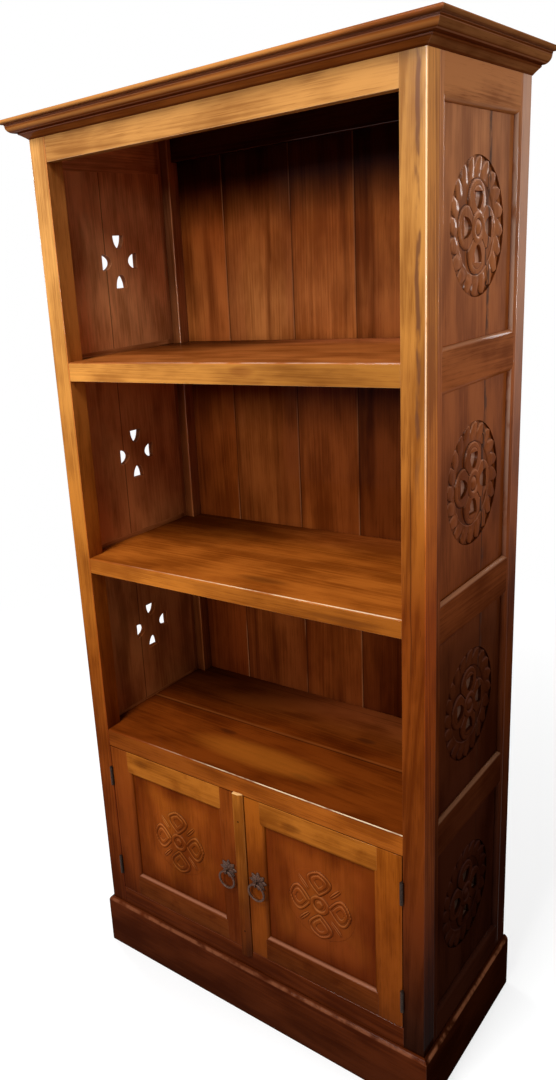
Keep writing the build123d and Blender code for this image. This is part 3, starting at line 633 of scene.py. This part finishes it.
def leaf_relief(r, angle):
    """Height of the wreath's leaves, which lean a little and end in round tips."""
    pitch = math.tau / LEAVES
    leaning = angle + LEAF_LEAN * rise(r, 84, 112)
    aside = abs((leaning + pitch / 2) % pitch - pitch / 2) * r
    half_gap = 0.6 + 5.2 * rise(r, 90, 110)
    half_width = pitch * r / 2 - half_gap
    if r > LEAF_TIP:
        half_width *= round_top(r, LEAF_TIP, LEAF_TIP_RADIUS)
    if half_width <= 0.4:
        return 0.0
    crown = LEAF_CROWN - 1.5 * rise(r, 96, 79) - 1.6 * min(1.0, aside / half_width) ** 2
    leaf = crown * (1 - rise(aside, half_width - 0.2, half_width + 1.0))
    band = 1.1 + (1 - rise(r, 88, 96)) * 0.6 if r < 92 else 0.0
    return max(leaf, band)


def petal_relief(r, angle):
    """Height of the four petals, which lie on the upright and level lines."""
    quarter = math.pi / 2
    turn = (angle + quarter / 2) % quarter - quarter / 2
    along, aside = r * math.cos(turn), abs(r * math.sin(turn))
    out = math.hypot(along - PETAL_MIDDLE, aside)
    dome = PETAL_CROWN - PETAL_FALL * (out / PETAL_RADIUS) ** 2
    line = 0.9 * (1 - rise(abs(out - PETAL_LINE), 0.6, 2.2)) * rise(r, 58, 62)
    from_diagonal = abs((along - aside) / math.sqrt(2))
    groove = 1.6 + 2.2 * rise(r, 64, 74)
    outline = 1 - rise(out, PETAL_RADIUS - 1, PETAL_RADIUS + 0.6)
    return max(0.0, (dome - line) * outline * rise(from_diagonal, groove * 0.35, groove))


def boss_relief(r):
    """Height of the ring and the domed button in the middle."""
    if r > BUTTON_RADIUS:
        hump = round_top(r, RING_MIDDLE, RING_HALF_WIDTH)
        return RING_FOOT + RING_CROWN * hump if r <= RING_MIDDLE + RING_HALF_WIDTH - 0.1 else 0.0
    dome = (1 - (r / BUTTON_RADIUS) ** 2) * rise(BUTTON_RADIUS, r, r + 1.5)
    return BUTTON_FOOT + BUTTON_CROWN * dome


def medallion_relief(r, angle):
    """Height of the whole carving over its sunk field."""
    leaf = leaf_relief(r, angle) if r > LEAF_ROOT else 0.0
    petal = petal_relief(r, angle) if CARVED_MIDDLE < r < LEAF_ROOT else 0.0
    return max(leaf, petal, boss_relief(r))


def wheel(name, radius, thickness, rings, sectors, relief):
    """A round block turned about Z, its front at Z = 0 carved to the heights of `relief`.

    Its points keep "hollow", over a half in grooves and under it on ridges, and "ledge", how much
    its slopes face up."""
    shape = bmesh.new()
    profile = [shape.verts.new((radius * i / rings, 0, 0)) for i in range(rings + 1)]
    profile += [shape.verts.new((radius, 0, -thickness)), shape.verts.new((0, 0, -thickness))]
    edges = [shape.edges.new(pair) for pair in zip(profile, profile[1:])]
    bmesh.ops.spin(shape, geom=profile + edges, cent=(0, 0, 0), axis=(0, 0, 1), angle=math.tau,
                   steps=sectors, use_merge=True)
    bmesh.ops.remove_doubles(shape, verts=shape.verts, dist=1e-7)
    bmesh.ops.recalc_face_normals(shape, faces=shape.faces)
    hollow = shape.verts.layers.float.new("hollow")
    ledge = shape.verts.layers.float.new("ledge")
    places = [(0, 0)] + [(GROOVE_REACH * x, GROOVE_REACH * y)
                         for x, y in ((1, 0), (-1, 0), (0, 1), (0, -1))]
    for vertex in shape.verts:
        if vertex.co.z > -thickness / 2:
            x, y = vertex.co.xy / MILLIMETRE
            height, right, left, over, under = (
                relief(math.hypot(x + i, y + j), math.atan2(y + j, x + i)) for i, j in places)
            vertex.co.z = height * MILLIMETRE
            vertex[hollow] = 0.5 + (right + left + over + under) / 4 - height
            vertex[ledge] = (under - over) / GROOVE_REACH
    for face in shape.faces:
        face.smooth = face.calc_center_median().z > -thickness / 2
    return settled(shape, name)


def block(name, low, high):
    """A plain board between two corners."""
    shape = bmesh.new()
    bmesh.ops.create_cube(shape, size=1)
    bmesh.ops.scale(shape, verts=shape.verts, vec=Vector(high) - Vector(low))
    bmesh.ops.translate(shape, verts=shape.verts, vec=(Vector(high) + Vector(low)) / 2)
    return settled(shape, name)


def drill(radius, depth=0.1):
    """A round cutter about Z."""
    shape = bmesh.new()
    bmesh.ops.create_cone(shape, cap_ends=True, segments=180, radius1=radius, radius2=radius,
                          depth=depth)
    return settled(shape, "drill")


def cut(wood, cutter):
    """The wood less the cutter, both closed meshes."""
    pieces = [bpy.data.objects.new(mesh.name, mesh) for mesh in (wood, cutter)]
    for piece in pieces:
        bpy.context.scene.collection.objects.link(piece)
    saw = pieces[0].modifiers.new("saw", "BOOLEAN")
    saw.object = pieces[1]
    saw.solver = "EXACT"
    sawn = pieces[0].evaluated_get(bpy.context.evaluated_depsgraph_get())
    result = bpy.data.meshes.new_from_object(sawn)
    for piece in pieces:
        bpy.data.objects.remove(piece)
    return result


def joined(name, *meshes):
    """One mesh of several. The first one brings the values that its points keep."""
    shape = bmesh.new()
    for mesh in meshes:
        shape.from_mesh(mesh)
    return settled(shape, name)


def placed(mesh, placing):
    """A copy of a mesh, moved to its place."""
    copy = mesh.copy()
    copy.transform(placing)
    return copy


def inlaid(name, board, carving, hole, placing):
    """A board bored out for a round carving, with the carving in its place."""
    return joined(name, placed(carving, placing), cut(board, placed(hole, placing)))


def stain_shade_and_highlight(wood, dark, light):
    """Stain left in the carved grooves, deepened as painted shade, and a painted highlight on the
    slopes which face up.
    """
    hollow = wood.kept("hollow")
    carved = hollow.above(0.0, 0.02)
    wood.tint(carved * hollow.above(0.52, 1.1) * dark, 0.22, 0.15, 0.11)
    wood.tint(wood.kept("ledge").above(0.15, 0.9) * light, 2.4, 4.0, 9.0)


# The four openings, each D-shaped with its straight side toward the rim.
SLOT_CHORD, SLOT_HALF_WIDTH, SLOT_DEPTH, SLOT_CUT = 0.0575, 0.0175, 0.0295, 0.1
shape = bmesh.new()
bmesh.ops.create_circle(shape, cap_ends=True, segments=64, radius=1)
bmesh.ops.scale(shape, verts=shape.verts, vec=(SLOT_HALF_WIDTH, SLOT_DEPTH, 1))
bmesh.ops.bisect_plane(shape, geom=shape.verts[:] + shape.edges[:] + shape.faces[:],
                       plane_co=(0, 0, 0), plane_no=(0, 1, 0), clear_outer=True)
bmesh.ops.translate(shape, verts=shape.verts, vec=(0, SLOT_CHORD, -SLOT_CUT / 2))
raised = bmesh.ops.extrude_face_region(shape, geom=shape.faces[:])["geom"]
bmesh.ops.translate(shape, verts=[part for part in raised if isinstance(part, bmesh.types.BMVert)],
                    vec=(0, 0, SLOT_CUT))
bmesh.ops.recalc_face_normals(shape, faces=shape.faces)
opening = settled(shape, "opening")
slots = joined("slots", *(placed(opening, Matrix.Rotation(turn * math.pi / 2, 4, "Z"))
                          for turn in range(4)))

CUTTER_LAP = 0.0001         # the bored hole is this much smaller than the carving
medallion = wheel("medallion", MEDALLION_RADIUS, PANEL_THICKNESS - FIELD_DEPTH - CUTTER_LAP / 2,
                  rings=68, sectors=400, relief=medallion_relief)
medallion.transform(Matrix.Translation((0, 0, -FIELD_DEPTH)))
medallion = cut(medallion, slots)
hole = drill(MEDALLION_RADIUS - CUTTER_LAP)

# Panel tones deepen toward the floor, partly as painted shade.
PANEL_TONES = [
    (0.05, srgb(32, 12, 5)), (0.40, srgb(42, 16, 6)), (0.62, srgb(50, 20, 9)),
    (0.95, srgb(70, 31, 12)), (1.10, srgb(112, 54, 22)), (1.42, srgb(150, 80, 36)),
    (1.60, srgb(164, 92, 44)), (1.90, srgb(186, 118, 68)),
]
SEAM_BROWN = srgb(36, 16, 8)
RIGHT_SEAM = 0.070
LEFT_SEAM = 2 * PANEL_MIDDLE - RIGHT_SEAM
right_teak = teak("panel_teak", "z", PANEL_TONES, shift=25.4, gloss=(0.0, 0.14),
                  heart=(0.47, -0.02), figure=0.4)
depth = PANEL_FACE - right_teak.x.absolute()
in_field = depth.above(0.0008, 0.0034) * depth.above(0.0046, 0.0043)
right_teak.tint(in_field * 0.4, 0.40, 0.32, 0.26)
stain_shade_and_highlight(right_teak, 0.9, 0.36)
# The walls of the openings are painted pale, more so higher up: painted light.
sawn_wall = depth.above(0.0046, 0.0056) * depth.above(PANEL_THICKNESS - 0.0002, 0.0110)
painted_wall_light = 0.12 + right_teak.z.above(0.9, 1.6) * 0.55
right_teak.stain(sawn_wall * painted_wall_light, srgb(216, 170, 142))
sway = right_teak.noise((0, 0, 4), 1, 6.0) - 0.5
knots = (right_teak.y + sway * 0.012).near(RIGHT_SEAM + 0.002, 0.003, 0.007)
knots = knots * right_teak.noise((90, 90, 30), 3, 3.3).above(0.40, 0.58)
right_teak.stain(knots * right_teak.z.above(0.5, 1.3) * 0.75, srgb(66, 46, 36))
right_teak.stain(right_teak.y.near(RIGHT_SEAM, 0.0008, 0.0010) * 0.7, SEAM_BROWN)

left_teak = teak("left_panel_teak", "z", LEFT_TONES, shift=27.9, gloss=(0.0, 0.1),
                 heart=(-0.47, -0.02), figure=0.6)
left_teak.stain(left_teak.y.near(LEFT_SEAM, 0.0008, 0.0010) * 0.7, SEAM_BROWN)
darker_outside(left_teak)
stain_shade_and_highlight(left_teak, 0.9, 0.3)
left_teak.tint(left_teak.noise((16, 16, 7), 3, 4.4).above(0.5, 0.75) * 0.5, 0.6, 0.52, 0.48)

FACING_RIGHT = Matrix(((0, 0, 1, 0), (1, 0, 0, 0), (0, 1, 0, 0), (0, 0, 0, 1)))
TO_THE_LEFT = Matrix.Translation((0, 2 * PANEL_MIDDLE, 0)) @ Matrix.Rotation(math.pi, 4, "Z")
for number in range(1, 5):
    low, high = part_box(f"right_panel_{number}")
    board = block("board", (PANEL_BACK, low[1], low[2]), (PANEL_FACE, high[1], high[2]))
    place = (PANEL_FACE, PANEL_MIDDLE, middle_of(f"right_panel_{number}").z)
    placing = Matrix.Translation(place) @ FACING_RIGHT
    right_panel = inlaid(f"right_panel_{number}_carved", board, medallion, hole, placing)
    left_panel = placed(right_panel, TO_THE_LEFT)
    show(f"right_panel_{number}_carved", right_panel, right_teak, "carcass",
         f"right_panel_{number}")
    show(f"left_panel_{number}_carved", left_panel, left_teak, "carcass", f"left_panel_{number}")


# ---- Doors --------------------------------------------------------------------------------------
# Two framed doors: dark stiles the full height, golden top rails and dark bottom rails between
# them, and a panel carved in low relief with a flower. A stop strip stands behind their tops.

# Door rail tones darken toward the floor, partly as painted shade.
DOOR_RAIL_TONES = [(0.18, srgb(82, 38, 12)), (0.26, srgb(100, 46, 14)), (0.50, srgb(150, 86, 26)),
                   (0.60, srgb(158, 92, 28))]
BOTTOM_RAIL_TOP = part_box("left_door_bottom_rail")[1][2]
stile_teak = teak("door_stile_teak", "z", shift=30.2, heart=(0.2, -0.25), figure=0.6)
stile_teak.tint(stile_teak.x.above(0.0, 0.01), 1.3, 1.5, 1.1)
rail_teak = teak("door_rail_teak", "x", DOOR_RAIL_TONES, shift=33.8, heart=(-0.23, 0.5),
                 figure=0.6)
rail_teak.tint(rail_teak.noise((24, 20, 30), 3, 7.7).above(0.5, 0.75) * 0.6, 0.62, 0.50, 0.42)
for knot in ((0.135, -0.19, 0.552), (-0.285, -0.19, 0.566)):
    rail_teak.stain(rail_teak.spot(knot, (0.030, 0.02, 0.012)) * 0.5, srgb(84, 38, 8))
# A pale painted sheen along the upward moulding at the top of the bottom rails.
wear_and_sheen = (rail_teak.z.near(BOTTOM_RAIL_TOP - 0.0035, 0.002, 0.002)
        * rail_teak.y.above(CASE_FRONT, CASE_FRONT + 0.002))
rail_teak.stain(wear_and_sheen * 0.6, srgb(158, 104, 78))

DOOR_PANEL_THICKNESS = 0.010
DOOR_PANEL_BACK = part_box("left_door_panel")[1][1]
DOOR_PANEL_FACE = DOOR_PANEL_BACK - DOOR_PANEL_THICKNESS
FLOWER_RADIUS = 0.084
FLOWER_ASIDE = 0.1915       # about how far each flower lies from the middle of the cabinet
FLOWER_LEVEL = middle_of("left_door_panel").z
FLOWER_SQUEEZE = 0.90       # the flower's width over its height

# The flower's carving is in millimetres too. Its petals are stepped from their outline inward:
# each step is a share of the outline's size and the height that it adds.
PETAL_STEPS = ((1.0, 2.8), (0.82, -2.0), (0.64, 1.8), (0.36, -1.6))
FLOWER_PETAL_MIDDLE, PETAL_REACH_IN, PETAL_LENGTH, PETAL_HALF_BREADTH = 56, 34, 60, 32
LEAFLET_MIDDLE, LEAFLET_HALF, LEAFLET_HALF_WIDTH = 60, 20, 5.0


def within_petal(along, aside, share):
    """How far a place lies inside a petal's outline, drawn at a share of its size."""
    stretch = ((along - FLOWER_PETAL_MIDDLE) / share + PETAL_REACH_IN) / PETAL_LENGTH
    if not 0 < stretch < 1:
        return -3.0
    return share * PETAL_HALF_BREADTH * math.sin(math.pi * stretch ** 1.35) ** 0.7 - aside


def flower_relief(r, angle):
    """Height over the door's panel of its flower: petals, leaflets between, ring and button."""
    x, z = r * math.cos(angle) / FLOWER_SQUEEZE, r * math.sin(angle)
    along, aside = max(abs(x), abs(z)), min(abs(x), abs(z))
    petal = sum(step * rise(within_petal(along, aside, share), -0.9, 0.9)
                for share, step in PETAL_STEPS)
    off_diagonal = (along - aside) / math.sqrt(2)
    half_width = LEAFLET_HALF_WIDTH * round_top((along + aside) / math.sqrt(2), LEAFLET_MIDDLE,
                                                LEAFLET_HALF)
    leaflet = 2.2 - 1.8 * (1 - rise(off_diagonal, 0.5, 1.8))
    leaflet *= 1 - rise(off_diagonal, half_width * 0.6, half_width + 0.5)
    ring = 3.0 * (1 - rise(abs(r - 18.5), 2.6, 4.8))
    button = 3.2 * (1 - rise(math.hypot(x * 1.1, z), 6.5, 10.5))
    return max(petal * rise(r, 22, 25), leaflet * rise(half_width, 0.2, 1.5), ring, button, 0.0)


flower = wheel("flower", FLOWER_RADIUS, DOOR_PANEL_THICKNESS - CUTTER_LAP, rings=56, sectors=320,
               relief=flower_relief)
flower_hole = drill(FLOWER_RADIUS - CUTTER_LAP)
FACING_FRONT = Matrix.Rotation(math.pi / 2, 4, "X")
panel_teak = teak("door_panel_teak", "z", tone=1.08, shift=37.6, heart=(0.05, -0.24), figure=0.3)
around_flower = (panel_teak.x.absolute().near(FLOWER_ASIDE, 0.07, 0.06)
                 * panel_teak.z.near(FLOWER_LEVEL, 0.09, 0.055))
panel_teak.tint(1 - around_flower, 0.60, 0.48, 0.42)
panel_teak.tint(panel_teak.noise((14, 14, 9), 2, 2.2).above(0.45, 0.7) * 0.6, 1.15, 1.35, 1.1)
panel_teak.tint(panel_teak.x.above(0.0, -0.05) * 0.8, 1.3, 1.4, 1.2)
stain_shade_and_highlight(panel_teak, 0.8, 0.3)
DOOR_EASING = 0.001
for side in ("left", "right"):
    body = f"{side}_door"
    for piece, wood in (("hinge_stile", stile_teak), ("meeting_stile", stile_teak),
                        ("top_rail", rail_teak), ("bottom_rail", rail_teak)):
        eased(f"{side}_door_{piece}", wood, DOOR_EASING, body)
    low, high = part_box(f"{side}_door_panel")
    board = block("board", (low[0], DOOR_PANEL_FACE, low[2]), (high[0], DOOR_PANEL_BACK, high[2]))
    place = (middle_of(f"{side}_door_panel").x, DOOR_PANEL_FACE + CUTTER_LAP / 2, FLOWER_LEVEL)
    panel = inlaid(f"{side}_door_panel_carved", board, flower, flower_hole,
                   Matrix.Translation(place) @ FACING_FRONT)
    show(f"{side}_door_panel_carved", panel, panel_teak, body, f"{side}_door_panel")
eased("door_stop", rail_teak)


# ---- Cover strip --------------------------------------------------------------------------------
# A bevelled strip of paler teak nailed over the gap between the doors. Its sawn upper end was
# left almost bare, and two nail holes show on its face.

NAIL_HEIGHTS = (0.236, 0.522)
strip_low, strip_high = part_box("astragal")
strip_teak = teak("strip_teak", "z", DOOR_RAIL_TONES, tone=0.88, shift=41.0, heart=(0.02, -0.23))
strip_teak.stain(strip_teak.z.flush(strip_high[2]), srgb(226, 176, 112))
for height in NAIL_HEIGHTS:
    nail_hole = strip_teak.spot((0.0023, strip_low[1], height), (0.0022, 0.01, 0.0028), 0.5)
    strip_teak.stain(nail_hole, srgb(30, 14, 6))
eased("astragal", strip_teak, DOOR_EASING, "left_door")


# ---- Hinges and ring pulls ----------------------------------------------------------------------
# Dark antique bronze. Each pull is a flower of eight folded leaves, an eye through its middle and a
# plain ring that hangs in the eye.

bronze = Finish("antique_bronze", "antique_bronze")
patina = bronze.noise(420, 3)
bronze.shade(
    Base_Color=bronze.mix(patina.above(0.35, 0.7), srgb(44, 26, 18), srgb(92, 60, 44)),
    Metallic=0.15, Roughness=0.36 + patina * 0.2, Specular_IOR_Level=0.2)
dull_bronze = Finish("dull_bronze", "antique_bronze")
tarnish = dull_bronze.noise(300, 3)
dull_bronze.shade(
    Base_Color=dull_bronze.mix(tarnish.above(0.35, 0.7), srgb(30, 20, 15), srgb(58, 42, 32)),
    Metallic=0.3, Roughness=0.5 + tarnish * 0.15, Specular_IOR_Level=0.15)

PETALS, PETAL_ROOT, PETAL_TIP, PETAL_HALF_WIDTH, PETAL_SHEET = 8, 0.003, 0.0229, 0.0058, 0.0008
HUB_RADIUS, HUB_FLATNESS = 0.0055, 0.68
RING_RADIUS, RING_WIRE = 0.020, 0.0025

# Each leaf is folded along its middle, sinks toward its tip, and every other one lies half a
# millimetre higher, over its neighbours.
shape = bmesh.new()
for petal in range(PETALS):
    sheet = bmesh.ops.create_grid(shape, x_segments=4, y_segments=9, size=0.5)["verts"]
    for vertex in sheet:
        aside, share = 2 * vertex.co.x, vertex.co.y + 0.5
        width = PETAL_HALF_WIDTH * math.sin(math.pi * (0.12 + 0.85 * share)) ** 0.8
        overlap = 0.5 if petal % 2 else 0.0
        lift = 3.6 - 1.3 * share ** 2 + overlap - 1.9 * abs(aside) * share ** 0.5
        vertex.co = Vector((aside * width, PETAL_ROOT + share * (PETAL_TIP - PETAL_ROOT),
                            max(0.9, lift) * MILLIMETRE))
    bmesh.ops.rotate(shape, verts=sheet, cent=(0, 0, 0),
                     matrix=Matrix.Rotation(math.tau * petal / PETALS, 3, "Z"))
bmesh.ops.recalc_face_normals(shape, faces=shape.faces)
for face in shape.faces:
    if face.normal.z < 0:
        face.normal_flip()
bmesh.ops.solidify(shape, geom=shape.faces[:], thickness=PETAL_SHEET)
hub = bmesh.ops.create_uvsphere(shape, u_segments=24, v_segments=12, radius=HUB_RADIUS)["verts"]
bmesh.ops.scale(shape, verts=hub, vec=(1, 1, HUB_FLATNESS))
for face in shape.faces:
    face.smooth = True
rosette = settled(shape, "rosette")

shape = bmesh.new()
wire = bmesh.ops.create_circle(shape, segments=16, radius=RING_WIRE)["verts"]
bmesh.ops.rotate(shape, verts=wire, cent=(0, 0, 0), matrix=Matrix.Rotation(math.pi / 2, 3, "X"))
bmesh.ops.translate(shape, verts=wire, vec=(RING_RADIUS, 0, 0))
bmesh.ops.spin(shape, geom=shape.verts[:] + shape.edges[:], cent=(0, 0, 0), axis=(0, 0, 1),
               angle=math.tau, steps=64, use_merge=True)
bmesh.ops.remove_doubles(shape, verts=shape.verts, dist=1e-7)
bmesh.ops.recalc_face_normals(shape, faces=shape.faces)
for face in shape.faces:
    face.smooth = True
ring = settled(shape, "ring")

for side in ("left", "right"):
    plate_middle = middle_of(f"{side}_pull_rosette")
    plate_middle.y = CASE_FRONT
    plate = placed(rosette, Matrix.Translation(plate_middle) @ FACING_FRONT)
    show(f"{side}_pull_flower", plate, bronze, f"{side}_door", f"{side}_pull_rosette")
    ring_middle = middle_of(f"{side}_pull_ring")
    hanging = placed(ring, Matrix.Translation(ring_middle) @ FACING_FRONT)
    show(f"{side}_pull_round", hanging, bronze, f"{side}_ring", f"{side}_pull_ring")
for node in ("left_hinge_frame_leaves", "left_hinge_door_leaves", "left_pull_staple",
             "hinge_pins", "right_hinge_frame_leaves", "right_hinge_door_leaves",
             "right_pull_staple"):
    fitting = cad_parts[node].data
    fitting.materials.clear()
    fitting.materials.append((bronze if "staple" in node else dull_bronze).material)


# ---- Floor and light ----------------------------------------------------------------------------
# A pale floor that runs out into a white surround. A wide soft lamp stands before the cabinet, a
# smaller one hangs high before its top, three more light its sides and back, and an even fill
# comes from all round.

def seen_directly(graph):
    """1 where the eye, a reflection or clear glass looks at a surface, 0 for the light it sends."""
    path = graph.node("ShaderNodeLightPath", {}, {})
    seen = (path.output("Is Camera Ray") + path.output("Is Glossy Ray")
            + path.output("Is Transmission Ray"))
    return seen.math("MINIMUM", seen, 1.0)


FLOOR_RADIUS = 12.0
shape = bmesh.new()
bmesh.ops.create_circle(shape, cap_ends=True, segments=64, radius=FLOOR_RADIUS)
floor_mesh = settled(shape, "floor")
floor = bpy.data.objects.new("floor", floor_mesh)
bpy.context.scene.collection.objects.link(floor)
floor_finish = Finish("floor_white")
distance_squared = floor_finish.x * floor_finish.x + floor_finish.y * floor_finish.y
far = distance_squared.above(0.8, 9.0)
grey = floor_finish.mix(far, (0.42, 0.42, 0.42, 1), (0, 0, 0, 1))
floor_finish.shade(Base_Color=grey, Roughness=0.9, Specular_IOR_Level=0.0,
                   Emission_Color=(1, 1, 1, 1),
                   Emission_Strength=(0.6 + far * 0.4) * seen_directly(floor_finish))
floor_mesh.materials.append(floor_finish.material)

world = bpy.data.worlds.new("surround")
bpy.context.scene.world = world
world.use_nodes = True
surround = Graph(world.node_tree)
background = world.node_tree.nodes["Background"]
surround.connect(background.inputs["Color"], (1, 1, 1, 1))
seen = seen_directly(surround)
direction = surround.node("ShaderNodeTexCoord", {}, {})
upward = surround.node("ShaderNodeSeparateXYZ", {}, {"Vector": direction}).output("Z")
fill = 0.06 + upward.above(-0.2, 0.6) * 0.20
surround.connect(background.inputs["Strength"], fill + seen * (1 - fill))

LIT_SPOT = Vector((0, 0, 1.1))
for name, place, width, height, power in (
        ("high_lamp", (0.1, -2.5, 4.2), 1.1, 1.1, 120),
        ("front_lamp", (-0.4, -4.7, 2.85), 2.4, 1.1, 150),
        ("right_lamp", (4.2, 0.2, 2.3), 0.6, 0.9, 62),
        ("left_lamp", (-4.4, 1.6, 2.3), 1.2, 1.2, 90),
        ("back_lamp", (0.6, 4.6, 2.4), 1.6, 1.2, 90)):
    lamp_data = bpy.data.lights.new(name, "AREA")
    lamp_data.shape = "RECTANGLE"
    lamp_data.size = width
    lamp_data.size_y = height
    lamp_data.energy = power
    lamp = bpy.data.objects.new(name, lamp_data)
    bpy.context.scene.collection.objects.link(lamp)
    turn = (LIT_SPOT - Vector(place)).to_track_quat("-Z", "Y")
    lamp.matrix_world = Matrix.Translation(place) @ turn.to_matrix().to_4x4()


# ---- Camera -------------------------------------------------------------------------------------
# A wide lens at the height of a standing person's eyes, close to the cabinet's right front corner.
# It is turned to the left and down, and tilted a little.

EYE = Vector((1.0459, -1.5386, 1.6814))
YAW, PITCH, ROLL = (math.radians(angle) for angle in (41.85, -16.45, -4.82))
forward = Vector((-math.sin(YAW) * math.cos(PITCH), math.cos(YAW) * math.cos(PITCH),
                  math.sin(PITCH)))
level_right = forward.cross(Vector((0, 0, 1))).normalized()
level_up = level_right.cross(forward)
right = math.cos(ROLL) * level_right + math.sin(ROLL) * level_up
up = math.cos(ROLL) * level_up - math.sin(ROLL) * level_right
camera_data = bpy.data.cameras.new("camera")
camera_data.lens = 29.87
camera_data.sensor_width = 36.0
camera_data.shift_x = 0.1085
camera_data.shift_y = -0.0027
camera = bpy.data.objects.new("camera", camera_data)
bpy.context.scene.collection.objects.link(camera)
camera.matrix_world = Matrix.Translation(EYE) @ Matrix((right, up, -forward)).transposed().to_4x4()
bpy.context.scene.camera = camera

bpy.context.scene.view_settings.view_transform = "Standard"
